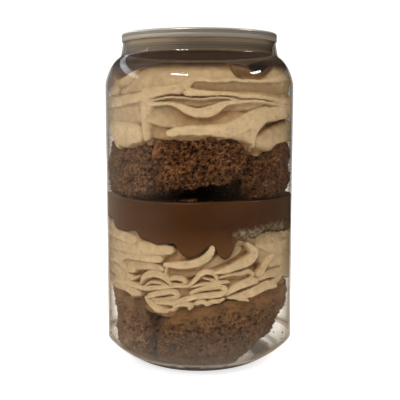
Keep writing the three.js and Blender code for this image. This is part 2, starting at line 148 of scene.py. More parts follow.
def grid_quads(rows, columns):
    """Faces between neighbouring rows and columns; the last column meets the first."""
    row, column = np.meshgrid(np.arange(rows - 1), np.arange(columns), indexing="ij")
    nearby = (column + 1) % columns
    return np.stack([row * columns + column, row * columns + nearby,
                     (row + 1) * columns + nearby, (row + 1) * columns + column], -1).reshape(-1, 4)


def solid_of_loops(name, loops, poles, attributes):
    """
    A closed piece from loops of points, shaped (loops, columns, 3), that run from its underside, up its
    side and in over its top. The two poles close the first loop and the last one.
    """
    count, columns = loops.shape[:2]
    points = np.concatenate([loops.reshape(-1, 3), np.array(poles, float)])
    here = np.arange(columns)
    nearby = (here + 1) % columns
    low_pole, high_pole = count * columns, count * columns + 1
    below = np.stack([np.full(columns, low_pole), nearby, here], -1)
    above = np.stack([np.full(columns, high_pole), here + (count - 1) * columns,
                      nearby + (count - 1) * columns], -1)
    padded = {key: np.concatenate([values.ravel(), values[0, :1], values[-1, :1]])
              for key, values in attributes.items()}
    triangles = np.concatenate([below, above])
    return make_object(name, points, grid_quads(count, columns), triangles, padded)


def lathe(name, profile, stations, sharp_angle=None, attributes=None):
    """
    A closed profile of (radius, height) points, counted up the outside, turned round the upright axis.
    Attributes hold one value for each point of the profile.
    """
    radius, height = np.array(profile, float).T
    points = around(full_turn(stations), radius[:, None], height[:, None]).reshape(-1, 3)
    quads = grid_quads(len(profile) + 1, stations) % len(points)
    spread = {key: np.repeat(values, stations) for key, values in (attributes or {}).items()}
    return make_object(name, points, quads, attributes=spread, sharp_angle=sharp_angle)


def dress(piece, material, slot, *nodes):
    """Gives a piece its material, lets it ride with the can, and stands it in for its plain nodes."""
    piece.data.materials.append(material)
    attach(piece, "root")
    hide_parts(*nodes)
    print(f"{piece.name}: {sum(len(p.vertices) - 2 for p in piece.data.polygons):,} triangles")

# %% [markdown]
# ## Noise that never changes
# Torn cake and whipped cream are uneven at every scale. Two kinds of noise describe them: smooth noise, for
# lumps and waves, and cell noise, for pores. Both start from whole numbers scrambled by a fixed rule, so
# every run gives the same cake.

# %% Noise helpers
def scramble(x, y, z, seed):
    """A number from 0 to 1 for each whole-number place: multiply by large odd numbers, and mix the bits."""
    mixed = (x * 374761393 + y * 668265263 + z * 1103515245 + seed * 974634777) & 0xFFFFFFFF
    mixed = ((mixed ^ (mixed >> 13)) * 1274126177) & 0xFFFFFFFF
    mixed = ((mixed ^ (mixed >> 16)) * 2246822519) & 0xFFFFFFFF
    return ((mixed ^ (mixed >> 15)) & 0xFFFFFF) / 0xFFFFFF


def smooth_noise(points, size, seed):
    """From -1 to 1: the scrambled numbers at the corners of a lattice, blended smoothly in between."""
    scaled = points / size
    cell = np.floor(scaled).astype(np.int64)
    part = scaled - cell
    blend = part * part * (3 - 2 * part)
    total = np.zeros(points.shape[:-1])
    for corner in range(8):
        step = np.array([corner & 1, corner >> 1 & 1, corner >> 2 & 1])
        weight = np.prod(np.where(step == 1, blend, 1 - blend), axis=-1)
        total += weight * scramble(*np.moveaxis(cell + step, -1, 0), seed)
    return 2 * total - 1


def rough_noise(points, size, octaves, seed):
    """Smooth noise added at halving sizes, each with 0.55 of the height of the one before."""
    total, height = np.zeros(points.shape[:-1]), 1.0
    for octave in range(octaves):
        total += height * smooth_noise(points, size / 2 ** octave, seed + 17 * octave)
        height *= 0.55
    return total


def pore_noise(points, size, seed):
    """Distance to the nearest of one scattered point per cell: 0 in a pore's middle, about 1 far away."""
    scaled = points / size
    cell = np.floor(scaled).astype(np.int64)
    nearest = np.full(points.shape[:-1], 9.0)
    for number in range(27):
        step = np.array([number % 3 - 1, number // 3 % 3 - 1, number // 9 - 1])
        place = np.moveaxis(cell + step, -1, 0)
        centre = np.stack([scramble(*place, seed + offset) for offset in range(3)], -1) + cell + step
        nearest = np.minimum(nearest, np.sum((scaled - centre) ** 2, -1))
    return np.sqrt(nearest)


def smoothstep(value, low, high):
    """0 below low, 1 above high, and a smooth S between them."""
    part = np.clip((value - low) / (high - low), 0, 1)
    return part * part * (3 - 2 * part)


def bell(angle, centre, spread, power=2):
    """Height 1 at an angle, falling away on both sides; a higher power has a flatter top."""
    away = np.abs((angle - centre + 180) % 360 - 180)
    return np.exp(-((away / spread) ** power))


diagonal = np.arange(0.0, 10.0, 2.0)[:, None] * np.ones(3)
print("smooth noise along a line:", smooth_noise(diagonal, 4.0, 1).round(2))

# %% [markdown]
# ## The clear wall
# The wall is 0.5 mm of clear polyester. Its outline is a flat ring to stand on, a sloping heel, a straight
# wall, a rounded shoulder and a short neck. Heel and shoulder are superellipses: like quarter circles, but
# with the power of the sine and cosine changed, which makes the corner tighter or slacker.

# %% Outline of the can
STAND_RADIUS, STAND_WIDTH, BASE_DOME, BASE_WALL = 20.0, 2.6, 2.6, 0.7
HEEL_HEIGHT, HEEL_POWER = 8.6, 1.65
SHOULDER_BASE, SHOULDER_TOP, SHOULDER_POWER = 97.6, 107.2, 1.33
NECK_FOOT_RADIUS = 27.6
SEAM_HEIGHT = 2.6
FOOT_LOW, FOOT_HIGH = 2.2, 3.3
BEAD_HEIGHT, BEAD_SPREAD, HEEL_HAZE = 4.0, 0.5, 0.12
NECK_SHADE_HEIGHT, NECK_SHADE_SPREAD = 105.8, 2.0


def outer_radius(height):
    """Outside radius at each height: the two superellipses solved for it, and the straight wall."""
    heel_cosine = (1 - np.clip(height / HEEL_HEIGHT, 0, 1)) ** (1 / HEEL_POWER)
    heel = STAND_RADIUS + (BODY_RADIUS - STAND_RADIUS) * np.sqrt(1 - heel_cosine ** 2) ** HEEL_POWER
    rise = np.clip((height - SHOULDER_BASE) / (SHOULDER_TOP - SHOULDER_BASE), 0, 1)
    shoulder_sine = rise ** (1 / SHOULDER_POWER)
    shoulder_cosine = np.sqrt(np.maximum(1 - shoulder_sine ** 2, 0))
    shoulder = NECK_FOOT_RADIUS + (BODY_RADIUS - NECK_FOOT_RADIUS) * shoulder_cosine ** SHOULDER_POWER
    return np.minimum(heel, shoulder)


def inner_reach(height):
    """How far food reaches when it is pressed on the wall: just into the plastic, on the slopes too."""
    lean = WALL - (IN_WALL - INSIDE)
    return np.minimum(outer_radius(height - lean), outer_radius(height + lean)) - lean


def slackened(line, spacing=0.3, reach=0.8):
    """
    The line in even steps, each point moved to the mean of its neighbours with bell-shaped weights, so that
    the corner between shoulder and neck becomes a hollow curve. The two ends stay where they are.
    """
    along = np.concatenate([[0], np.cumsum(np.linalg.norm(np.diff(line, axis=0), axis=1))])
    even = np.linspace(0, along[-1], int(along[-1] / spacing))
    points = np.stack([np.interp(even, along, line[:, i]) for i in range(2)], -1)
    weights = np.exp(-((even[:, None] - even[None]) / reach) ** 2)
    weights /= weights.sum(1, keepdims=True)
    loose = smoothstep(np.minimum(even, even[-1] - even), 0, 2)[:, None]
    return points * (1 - loose) + (weights @ points) * loose


def can_outline(steps=26):
    """Points (radius, height) up the outside, from the stand ring to the top of the neck."""
    turn = np.linspace(0, math.pi / 2, steps)
    heel = np.stack([STAND_RADIUS + (BODY_RADIUS - STAND_RADIUS) * np.sin(turn) ** HEEL_POWER,
                     HEEL_HEIGHT * (1 - np.cos(turn) ** HEEL_POWER)], -1)
    reach = (BODY_RADIUS - NECK_FOOT_RADIUS) * np.cos(turn) ** SHOULDER_POWER
    rise = (SHOULDER_TOP - SHOULDER_BASE) * np.sin(turn) ** SHOULDER_POWER
    shoulder = np.stack([NECK_FOOT_RADIUS + reach, SHOULDER_BASE + rise], -1)
    up = np.linspace(0, 1, 8)[1:]
    neck_top = HEIGHT - SEAM_HEIGHT + 0.4
    neck = np.stack([NECK_FOOT_RADIUS - 0.55 * np.sin(up * math.pi / 2) - 0.35 * up,
                     SHOULDER_TOP + (neck_top - SHOULDER_TOP) * up], -1)
    straight = np.stack([np.full(18, BODY_RADIUS), np.linspace(HEEL_HEIGHT, SHOULDER_BASE, 20)[1:-1]], -1)
    return np.concatenate([heel, straight, slackened(np.concatenate([shoulder, neck]))])


def moved_inwards(outline, distance):
    """The outline shifted along its own normals, by the thickness of the wall."""
    along = np.gradient(outline, axis=0)
    along /= np.linalg.norm(along, axis=1, keepdims=True)
    return outline + distance * np.stack([-along[:, 1], along[:, 0]], -1)


outside = can_outline()
inside = moved_inwards(outside, WALL)
inside[0] = (STAND_RADIUS - BASE_WALL, BASE_WALL)
dish_radius = STAND_RADIUS - STAND_WIDTH
share = np.linspace(0.02, 1, 12)[:, None]
dish = np.concatenate([dish_radius * share, BASE_DOME * np.cos(share * math.pi / 2) ** 0.8], 1)
dish_inside = dish[::-1] + [0, BASE_WALL]
can_profile = np.concatenate([dish, outside, inside[::-1], dish_inside])
number = np.arange(len(can_profile))
outer_face = (number >= len(dish)) & (number < len(dish) + len(outside))
level = can_profile[:, 1]
# Masks of painted light: shade on the foot, a highlight on the bead, and shade under the metal end.
foot = np.where(outer_face, 1 - smoothstep(level, FOOT_LOW, FOOT_HIGH), 0)
heel_haze = HEEL_HAZE * smoothstep(level, 4.0, 5.5) * (1 - smoothstep(level, 11.0, 16.0))
bead_line = np.exp(-(((level - BEAD_HEIGHT) / BEAD_SPREAD) ** 2))
bead = np.where(outer_face, np.maximum(bead_line, heel_haze), 0)
smear = np.where(outer_face, np.exp(-(((level - NECK_SHADE_HEIGHT) / NECK_SHADE_SPREAD) ** 4)), 0)
print(f"outline of {len(can_profile)} points, widest {can_profile[:, 0].max():.1f} mm")

# %% [markdown]
# A material is a tree of nodes. The class below adds the nodes and joins them in one step, so that each
# material further down reads in one direction: from the place and the noise there to the colour, and on to
# the surface.

# %% Shader nodes
class Nodes:
    """Adds nodes to a tree. An input gets a number, a colour, or the node or output that feeds it."""

    def __init__(self, tree):
        self.tree = tree

    def feed(self, socket, source):
        """Links the input to an output, or to a node's first output. Anything else becomes its value."""
        if isinstance(source, bpy.types.Node):
            source = source.outputs[0]
        if isinstance(source, bpy.types.NodeSocket):
            self.tree.links.new(source, socket)
        else:
            socket.default_value = source

    def add(self, kind, *sources, **settings):
        """A new node: what its first inputs get, then its other inputs and its settings by name."""
        node = self.tree.nodes.new("ShaderNode" + kind)
        for socket, source in zip(node.inputs, sources):
            self.feed(socket, source)
        for key, value in settings.items():
            if key in node.inputs:
                self.feed(node.inputs[key], value)
            else:
                setattr(node, key, value)
        return node

    def attribute(self, name):
        """The numbers that the mesh keeps under this name."""
        return self.add("Attribute", attribute_name=name).outputs["Fac"]

    def noise(self, place, scale, detail, roughness=0.5):
        """Cloudy noise of the place."""
        return self.add("TexNoise", Vector=place, Scale=scale, Detail=detail, Roughness=roughness)

    def maths(self, operation, *sources):
        """The sum, product, difference or larger of its inputs."""
        return self.add("Math", *sources, operation=operation)

    def remap(self, value, from_min, from_max, to_min=0.0, to_max=1.0, curve="LINEAR"):
        """The value carried from one span to another, and held inside it."""
        return self.add("MapRange", value, from_min, from_max, to_min, to_max, interpolation_type=curve)

    def ramp(self, value, *stops):
        """The colour at a value, between stops of (place, red, green, blue) in rising order."""
        node = self.add("ValToRGB", value)
        elements = node.color_ramp.elements
        elements[0].position, elements[1].position = stops[0][0], stops[-1][0]
        for place, *_ in stops[1:-1]:
            elements.new(place)
        for element, (_, *colour) in zip(elements, stops):
            element.color = (*colour, 1)
        return node

    def blend(self, factor, a, b, kind="RGBA"):
        """The first colour or number where the factor is 0, and the second where it is 1."""
        return self.add("Mix", data_type=kind, Factor=factor, A=a, B=b).outputs["Result"]

    def paint(self, node, sources):
        """Feeds the inputs of a node that is there already, by name."""
        for key, source in sources.items():
            self.feed(node.inputs[key], source)


def new_material(name):
    """A new material, its nodes, its Principled shader and the place of each point on the piece."""
    material = bpy.data.materials.new(name)
    material.use_nodes = True
    nodes = Nodes(material.node_tree)
    return material, nodes, nodes.tree.nodes["Principled BSDF"], nodes.add("TexCoord").outputs["Object"]


print("node helpers:", [name for name in vars(Nodes) if not name.startswith("_")])

# %% [markdown]
# The wall is so thin that light goes nearly straight through it. So the plastic lets light pass unbent, and
# adds the gloss of its surface by the Fresnel rule: weak where it is seen face on, strong along its edges.
# Seen edge on, light passes through more plastic, so it also turns greyer there. Inner faces of the wall
# get no mirror of their own. A ramp by height makes it a little greyer low down, and paints shade in a dark
# brown band round the top of the shoulder, where the inside of the can gets little light. Three masks,
# worked out from the height on the outline, paint what the plain rule misses. The foot is painted nearly
# black and loses its gloss: painted shade, as light does not come back from under it. Just above it a pale
# line is a painted highlight, where the thick bead catches light, and the heel over it is a little milky.
# Under the metal end a brown film on the wall is painted shade, of the dark space inside the can.

# %% Clear plastic
def clear_plastic():
    """
    Transparent plastic, greyer where it is seen edge on, with gloss by the Fresnel rule on its front faces.
    A ramp by height paints shade on it. Three masks paint more: shade that makes the foot nearly black,
    a highlight on the bead with a milky heel over it, and a brown film of shade under the metal end.
    """
    material, nodes, shader, place = new_material("clear_plastic")
    nodes.tree.nodes.remove(shader)
    foot = nodes.attribute("foot")
    edge = nodes.add("LayerWeight", Blend=0.5).outputs["Facing"]
    tint = nodes.ramp(edge, (0.55, 0.975, 0.975, 0.965), (1.0, 0.60, 0.57, 0.54))
    level = nodes.remap(nodes.add("SeparateXYZ", place).outputs["Z"], 0.0, HEIGHT * MM)
    # Painted shade by height: a little greyer low down, and a dark brown band round the shoulder's top.
    tint_and_shade_by_height = nodes.ramp(
        level, (0.0, 0.93, 0.92, 0.90), (0.030, 0.90, 0.885, 0.86), (0.26, 1.0, 1.0, 1.0),
        (0.888, 1.0, 1.0, 1.0), (0.904, 0.52, 0.43, 0.36), (0.922, 0.66, 0.61, 0.57),
        (0.94, 0.90, 0.87, 0.84))
    both = nodes.add("VectorMath", tint, tint_and_shade_by_height, operation="MULTIPLY")
    # Painted shade: at the foot the plastic turns nearly black and has no gloss.
    through = nodes.add("BsdfTransparent", nodes.blend(foot, both, (0.16, 0.14, 0.125, 1)))
    covered = nodes.maths("MAXIMUM", nodes.add("NewGeometry").outputs["Backfacing"], foot)
    front = nodes.maths("SUBTRACT", 1.0, covered)
    amount = nodes.maths("MULTIPLY", nodes.add("Fresnel", IOR=1.5), front)
    unshadowed = nodes.maths("SUBTRACT", 1.0, nodes.add("LightPath").outputs["Is Shadow Ray"])
    only_seen = nodes.maths("MULTIPLY", amount, unshadowed)
    plain = nodes.add("MixShader", only_seen, through, nodes.add("BsdfGlossy", Roughness=0.03))
    thinned = nodes.remap(nodes.noise(place, 120.0, 5.0, 0.65), 0.32, 0.68, 0.45, 0.9)
    # Painted shade: a brown film on the wall under the metal end, where the inside of the can is dark.
    smear = nodes.maths("MULTIPLY", nodes.attribute("smear"), thinned)
    brown = nodes.add("BsdfDiffuse", Color=(0.045, 0.026, 0.015, 1))
    smeared = nodes.add("MixShader", smear, plain, brown)
    # Painted highlight: a pale line on the bead, with a milky haze on the heel above it.
    bead = nodes.maths("MULTIPLY", nodes.attribute("bead"), 0.7)
    highlight_and_milk = nodes.add("BsdfDiffuse", Color=(0.62, 0.52, 0.45, 1))
    surface = nodes.add("MixShader", bead, smeared, highlight_and_milk)
    nodes.paint(nodes.tree.nodes["Material Output"], {"Surface": surface})
    return material


can = lathe("clear_can", can_profile, 240, attributes={"foot": foot, "bead": bead, "smear": smear})
dress(can, clear_plastic(), "clear_wall", "can_body")

# %% [markdown]
# ## The metal end
# A seamed end has a rolled edge, a wall that drops to a deep groove, and a flat panel. The edge is rolled
# out of sheet, so every corner is round: the profile below is given by its corners and then rounded.

# %% Metal end
METAL = 0.3
COUNTERSINK_DEPTH, COUNTERSINK_RADIUS, PANEL_RISE, PANEL_RADIUS = 7.2, 23.6, 1.9, 21.8
PANEL_TOP = HEIGHT - COUNTERSINK_DEPTH + PANEL_RISE + 0.5
SEAM_WIDTH = 1.9
DARK_SHARE = 0.3              # the dark rings have this share of the metal's colour
RING_SPREAD = 0.1             # the noise of the metal runs ten times slower across its rings than up its wall


def rounded(corners, reach, steps=5):
    """A closed outline with each corner swapped for a curve from `reach` before it to `reach` after it."""
    corners = np.array(corners, float)
    before, after = np.roll(corners, 1, 0) - corners, np.roll(corners, -1, 0) - corners
    limit_before = np.minimum(reach, 0.45 * np.linalg.norm(before, axis=1))[:, None]
    limit_after = np.minimum(reach, 0.45 * np.linalg.norm(after, axis=1))[:, None]
    start = corners + before / np.linalg.norm(before, axis=1)[:, None] * limit_before
    end = corners + after / np.linalg.norm(after, axis=1)[:, None] * limit_after
    t = np.linspace(0, 1, steps)[None, :, None]
    curve = (1 - t) ** 2 * start[:, None] + 2 * t * (1 - t) * corners[:, None] + t ** 2 * end[:, None]
    return curve.reshape(-1, 2)


seam_bottom = HEIGHT - SEAM_HEIGHT
groove = HEIGHT - COUNTERSINK_DEPTH
seam_inner = SEAM_RADIUS - SEAM_WIDTH
end_corners = [
    (0.05, PANEL_TOP - METAL), (PANEL_RADIUS, PANEL_TOP - METAL), (COUNTERSINK_RADIUS - 1.0, groove),
    (COUNTERSINK_RADIUS + 1.9, groove), (COUNTERSINK_RADIUS + 2.2, groove + 0.9),
    (COUNTERSINK_RADIUS + 2.2, groove + 2.4), (seam_inner + 0.75, seam_bottom - 0.2),
    (SEAM_RADIUS - 0.25, seam_bottom - 0.2), (SEAM_RADIUS, seam_bottom + 0.2),
    (SEAM_RADIUS - 0.1, HEIGHT - 1.3), (SEAM_RADIUS, HEIGHT - 1.1), (SEAM_RADIUS - 0.1, HEIGHT),
    (seam_inner + 0.3, HEIGHT), (seam_inner - METAL + 0.3, seam_bottom),
    (COUNTERSINK_RADIUS + 1.8, groove + 2.4),
    (COUNTERSINK_RADIUS + 1.5, groove + METAL), (COUNTERSINK_RADIUS - 0.7, groove + METAL),
    (PANEL_RADIUS - 0.3, PANEL_TOP), (14.0, PANEL_TOP), (13.2, PANEL_TOP - 0.35), (0.05, PANEL_TOP - 0.35),
]
end = lathe("seamed_end", rounded(end_corners, 0.45), 200, sharp_angle=50)


def sheet_metal(name, tint, roughness, brushed, metallic=1.0):
    """Metal with rings: noise of the radius and the height sets the shade, slow noise the dullness."""
    material, nodes, shader, place = new_material(name)
    split = nodes.add("SeparateXYZ", place)
    flat = nodes.add("CombineXYZ", split.outputs["X"], split.outputs["Y"])
    radius = nodes.add("VectorMath", flat, operation="LENGTH").outputs["Value"]
    ringed = nodes.add("CombineXYZ", X=nodes.maths("MULTIPLY", radius, RING_SPREAD), Z=split.outputs["Z"])
    streaks = nodes.noise(ringed, brushed, 4.0, 0.7)
    nodes.paint(shader, {
        "Base Color": nodes.ramp(streaks, (0.40, *[DARK_SHARE * c for c in tint]), (0.60, *tint)),
        "Roughness": nodes.remap(nodes.noise(place, 90.0, 4.0), 0.0, 1.0, roughness * 0.75, roughness * 1.45),
        "Metallic": metallic,
        "Normal": nodes.add("Bump", Strength=0.25, Distance=0.0002, Height=streaks)})
    return material


dress(end, sheet_metal("lacquered_end", (0.84, 0.78, 0.66), 0.30, 1000.0, 0.65), "lid_metal", "lid_end")
print(f"{end.name}: panel {COUNTERSINK_DEPTH - PANEL_RISE - 0.5:.1f} mm below the seam's top")

# %% [markdown]
# The ring pull is stamped from one sheet with its edges curled under. Its outline is a rounded plate with a
# finger hole, and its thickness is domed, so that the edge rolls over.

# %% Ring pull
PULL_RIVET_Y, PULL_RIVET_RADIUS, PULL_THICKNESS, PULL_LENGTH, PULL_WIDTH = -15.5, 1.9, 1.1, 25.0, 15.5
PULL_BASE = PANEL_TOP + 0.3
PULL_NOSE, PULL_SIDE, HOLE_HALF_LENGTH = 4.6, 2.3, 5.0
PULL_POWER = 2.6              # of the superellipse; 2 would be an ellipse


def pull_outline(turn, half, nose, tail):
    """The plate's rounded outline from its middle: an egg, wide at the tail and narrow in front."""
    middle = (tail - nose) / 2
    length = (tail + nose) / 2
    wide = half * (0.86 + 0.14 * np.sin(turn))
    total = (np.abs(np.cos(turn)) / wide) ** PULL_POWER + (np.abs(np.sin(turn)) / length) ** PULL_POWER
    radius = 1 / total ** (1 / PULL_POWER)
    return np.stack([radius * np.cos(turn), middle + radius * np.sin(turn)], -1)


def pull_ring(name, inner, outer, base, thickness):
    """A ring of metal between two outlines, its section a flattened circle: cosine across and sine up."""
    section = np.linspace(0, 2 * math.pi, 20, endpoint=False)
    across = 0.5 - 0.5 * np.sign(np.cos(section)) * np.abs(np.cos(section)) ** 0.6
    up = np.sign(-np.sin(section)) * np.abs(np.sin(section)) ** 0.7
    flat = inner[None] * (1 - across[:, None, None]) + outer[None] * across[:, None, None]
    height = np.repeat((base + thickness / 2 + thickness / 2 * up)[:, None], len(inner), 1)
    points = np.concatenate([flat, height[..., None]], -1).reshape(-1, 3)
    quads = grid_quads(len(section) + 1, len(inner)) % len(points)
    return make_object(name, points, quads[:, ::-1])


turn = np.linspace(0, 2 * math.pi, 120, endpoint=False)
tail = PULL_LENGTH - PULL_NOSE
outer_edge = pull_outline(turn, PULL_WIDTH / 2, PULL_NOSE, tail)
hole_middle = tail - PULL_WIDTH / 2
hole_half_width = PULL_WIDTH / 2 - PULL_SIDE
finger_edge = np.stack([hole_half_width * np.cos(turn), hole_middle + HOLE_HALF_LENGTH * np.sin(turn)], -1)
pull = pull_ring("ring_pull", finger_edge + [0, PULL_RIVET_Y], outer_edge + [0, PULL_RIVET_Y], PULL_BASE,
                 PULL_THICKNESS)
bright_metal = sheet_metal("bright_pull", (0.76, 0.75, 0.72), 0.2, 700.0)
dress(pull, bright_metal, "pull_metal", "pull_tab")
rivet_profile = rounded([(0.05, PANEL_TOP - 0.6), (PULL_RIVET_RADIUS, PANEL_TOP - 0.6),
                         (PULL_RIVET_RADIUS, PANEL_TOP + 1.7), (PULL_RIVET_RADIUS + 1.1, PANEL_TOP + 1.7),
                         (PULL_RIVET_RADIUS + 0.9, PANEL_TOP + 2.2), (0.05, PANEL_TOP + 2.4)], 0.3)
rivet = lathe("rivet", rivet_profile, 48, sharp_angle=60)
rivet.data.transform(Matrix.Translation((0, PULL_RIVET_Y * MM, 0)))
rivet.data.materials.append(bright_metal)
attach(rivet, "root")
print(f"{pull.name}: {PULL_LENGTH:.1f} mm long, {PULL_WIDTH:.1f} mm wide")

# %% [markdown]
# ## Where the layers meet
# The layers are not flat. These height functions say where one layer ends and the next one starts, at any
# place in the can. They rise and fall with the angle near the wall, and level out towards the middle.

# %% Heights between the layers
GANACHE_TOP = 59.0
BOTTOM_CAKE_TOP, UPPER_CAKE_TOP, UPPER_CREAM_EDGE = 26.6, 78.4, 97.2


def angle_of(x, y):
    """The angle round the can, in degrees from the front."""
    return np.degrees(np.arctan2(x, -y))


def towards_wall(x, y, centre_height, wall_height):
    """The centre's height and the wall's, mixed by the square of the distance from the axis."""
    part = np.clip(np.hypot(x, y) / BODY_RADIUS, 0, 1) ** 2
    return centre_height + (wall_height - centre_height) * part


def bottom_cake_rim(angle):
    """Lowest at the front left, higher at both sides."""
    return (BOTTOM_CAKE_TOP - 3.0 * bell(angle, -20, 26) + 2.6 * bell(angle, 62, 34)
            + 2.0 * bell(angle, -64, 24) - 1.4 * bell(angle, 170, 30))


GANACHE_EDGE = [
    (-180, 46.4), (-170, 47.6), (-160, 46.2), (-152, 44.6), (-144, 46.8), (-134, 48.4), (-125, 44.8),
    (-118, 43.4), (-110, 46.6), (-100, 49.6), (-90, 51), (-84, 51.4), (-66, 52.4), (-62, 49), (-59, 48.5),
    (-48, 48.6), (-39, 49.3), (-37, 46.6), (-32, 46.4), (-25, 45.2), (-17, 46), (-13.5, 45.9), (-12, 43.6),
    (-9, 41.8), (-5, 41.1), (0, 42.4), (4, 44.6), (7, 46.2), (9, 45.2), (10.5, 42.4), (13, 40.9),
    (16.5, 40.8), (19.5, 42.2), (20.8, 45.6), (22, 46.6), (29, 47.3), (40, 48.6), (54, 48.3), (84, 47.1),
    (92, 46), (98, 44.2), (105, 45.8), (116, 48), (128, 46.2), (138, 47.8), (150, 48.2), (157, 44.6),
    (163, 43), (170, 44.4), (180, 46.4)]


def ganache_rim(angle):
    """Lower edge of the ganache: straight runs between listed places, smoothed over three degrees."""
    places, heights = np.array(GANACHE_EDGE, float).T
    steps = np.linspace(-1.6, 1.6, 7)
    wrapped = (np.asarray(angle)[..., None] + steps + 180) % 360 - 180
    return np.interp(wrapped, places, heights) @ np.full(len(steps), 1 / len(steps))


def upper_cake_rim(angle):
    """The middle chunk stands higher in front; both sides and the torn gap at the right lie lower."""
    return (UPPER_CAKE_TOP + 2.6 * bell(angle, -4, 30) - 3.2 * bell(angle, 40, 12)
            - 2.2 * bell(angle, -54, 15) - 1.2 * bell(angle, 140, 25) + 0.9 * bell(angle, -140, 25))


def bottom_cake_top(x, y):
    """Nearly level in the middle, and along its rim at the wall."""
    return towards_wall(x, y, BOTTOM_CAKE_TOP + 0.6, bottom_cake_rim(angle_of(x, y)))


def upper_cake_top(x, y):
    """Nearly level in the middle, and along its rim at the wall."""
    return towards_wall(x, y, UPPER_CAKE_TOP + 0.6, upper_cake_rim(angle_of(x, y)))


def upper_cream_top(x, y):
    """A broad mound at the front left, a smooth step of the distance from its middle, over swirls."""
    away = np.hypot((x + 2) / 22, (y + 6) / 27)
    mound = 1 - smoothstep(away, 0.7, 1.35)
    swirl = 0.8 * np.sin(0.32 * x + 0.5) * np.cos(0.28 * y)
    return UPPER_CREAM_EDGE + 7 * mound + swirl * (1 - 0.7 * mound)


print("ganache's rim in front, right, behind, left:", ganache_rim(np.array([0, 90, 180, -90])).round(1), "mm")

# %% [markdown]
# ## Ribbons of cream
# The cream was piped in and pressed on the wall, so it is a pile of flattened ribbons. Each ribbon is a
# smooth line on the wall, with a half width at each point. Across the ribbon its face stands flat near the
# wall, and falls away at its two edges like the end of a superellipse. Where ribbons overlap, the one
# nearer the wall shows.

# %% Ribbon surface
def smooth_line(points, steps=9):
    """A Catmull-Rom curve: each stretch is a cubic that also looks at the points before and after it."""
    points = np.array(points, float)
    padded = np.concatenate([[2 * points[0] - points[1]], points, [2 * points[-1] - points[-2]]])
    t = np.linspace(0, 1, steps, endpoint=False)[None, :, None]
    a, b, c, d = (padded[i:len(padded) - 3 + i][:, None] for i in range(4))
    square, cube = 2 * a - 5 * b + 4 * c - d, 3 * b - a - 3 * c + d
    curve = 0.5 * (2 * b + (c - a) * t + square * t ** 2 + cube * t ** 3)
    return np.concatenate([curve.reshape(-1, points.shape[1]), points[-1:]])


def lay_ribbon(angle, height, depth, across, ribbon, edge_drop):
    """
    Lowers the depth behind the wall wherever this ribbon lies. Its face runs straight from one depth at its
    lower edge to another at its upper edge. With s the distance from its line over its half width, the face
    then falls away by drop (1 - (1 - s^p)^(1/p)), with one power p for each side. `across` keeps s and its
    side.
    """
    low_face, high_face, upper, lower, *points = ribbon
    line = smooth_line([(*point, 0.0)[:4] for point in points])
    middle = (line[:, 0].min() + line[:, 0].max()) / 2
    along_wall = math.radians(1) * INSIDE
    u = ((angle - middle + 180) % 360 - 180) * along_wall
    line[:, 0] = (line[:, 0] - middle) * along_wall
    reach = line[:, 2].max()
    near = ((np.abs(u) < np.abs(line[:, 0]).max() + reach)
            & (height > line[:, 1].min() - reach) & (height < line[:, 1].max() + reach))
    if not near.any():
        return
    u, v = u[near], height[near]
    nearest, side = np.full(u.shape, 9.0), np.zeros(u.shape)
    width, sunk = np.ones(u.shape), np.zeros(u.shape)
    for (u0, v0, w0, e0), (u1, v1, w1, e1) in zip(line[:-1], line[1:]):
        run_u, run_v = u1 - u0, v1 - v0
        t = np.clip(((u - u0) * run_u + (v - v0) * run_v) / (run_u ** 2 + run_v ** 2 + 1e-9), 0, 1)
        off_u, off_v, half = u - u0 - t * run_u, v - v0 - t * run_v, w0 + t * (w1 - w0)
        s = np.hypot(off_u, off_v) / half
        closer = s < nearest
        nearest = np.where(closer, s, nearest)
        side = np.where(closer, np.sign(run_u * off_v - run_v * off_u), side)
        width = np.where(closer, half, width)
        sunk = np.where(closer, e0 + t * (e1 - e0), sunk)
    power = np.where(side > 0, upper, lower)
    drop = np.minimum(2.4 * width, edge_drop)
    inside_it = nearest < 1
    fall = 1 - np.maximum(1 - np.minimum(nearest, 1) ** power, 0) ** (1 / power)
    slant = 0.5 + 0.5 * side * np.minimum(nearest, 1)
    lies = np.where(inside_it, low_face + (high_face - low_face) * slant + sunk + drop * fall, 99.0)
    current = depth[near]
    wins = lies < current
    depth[near] = np.where(wins, lies, current)
    across[near] = np.where(wins, side * nearest * width, across[near])


def pressed_together(ribbons, wider, crisper, lean):
    """The same ribbons pressed on each other: wider, crisper at the edges and leaning back."""
    return [(low_face, high_face + lean, upper * crisper, lower * crisper,
             *[(angle, height, half * wider, *rest) for angle, height, half, *rest in points])
            for low_face, high_face, upper, lower, *points in ribbons]


def turned_round(ribbons):
    """The same ribbons seen from behind: mirrored and set on the far side of the can."""
    return [(low_face, high_face, lower, upper,
             *[(180 - angle * 1.06, height + 0.5, *rest) for angle, height, *rest in points])
            for low_face, high_face, upper, lower, *points in ribbons]


print("a line of 3 points becomes one of", len(smooth_line([(0, 0), (1, 1), (2, 0)])))

# %% [markdown]
# The upper cream's ribbons are listed from the back to the front of the pile. Each has the depth of its
# face behind the wall at its lower and at its upper edge, the power of its upper side and of its lower
# side, and then its points: angle, height and half width, and at some points how much deeper the face lies
# there. A high power makes a face that is flat up to a crisp edge; a low one, a round edge.

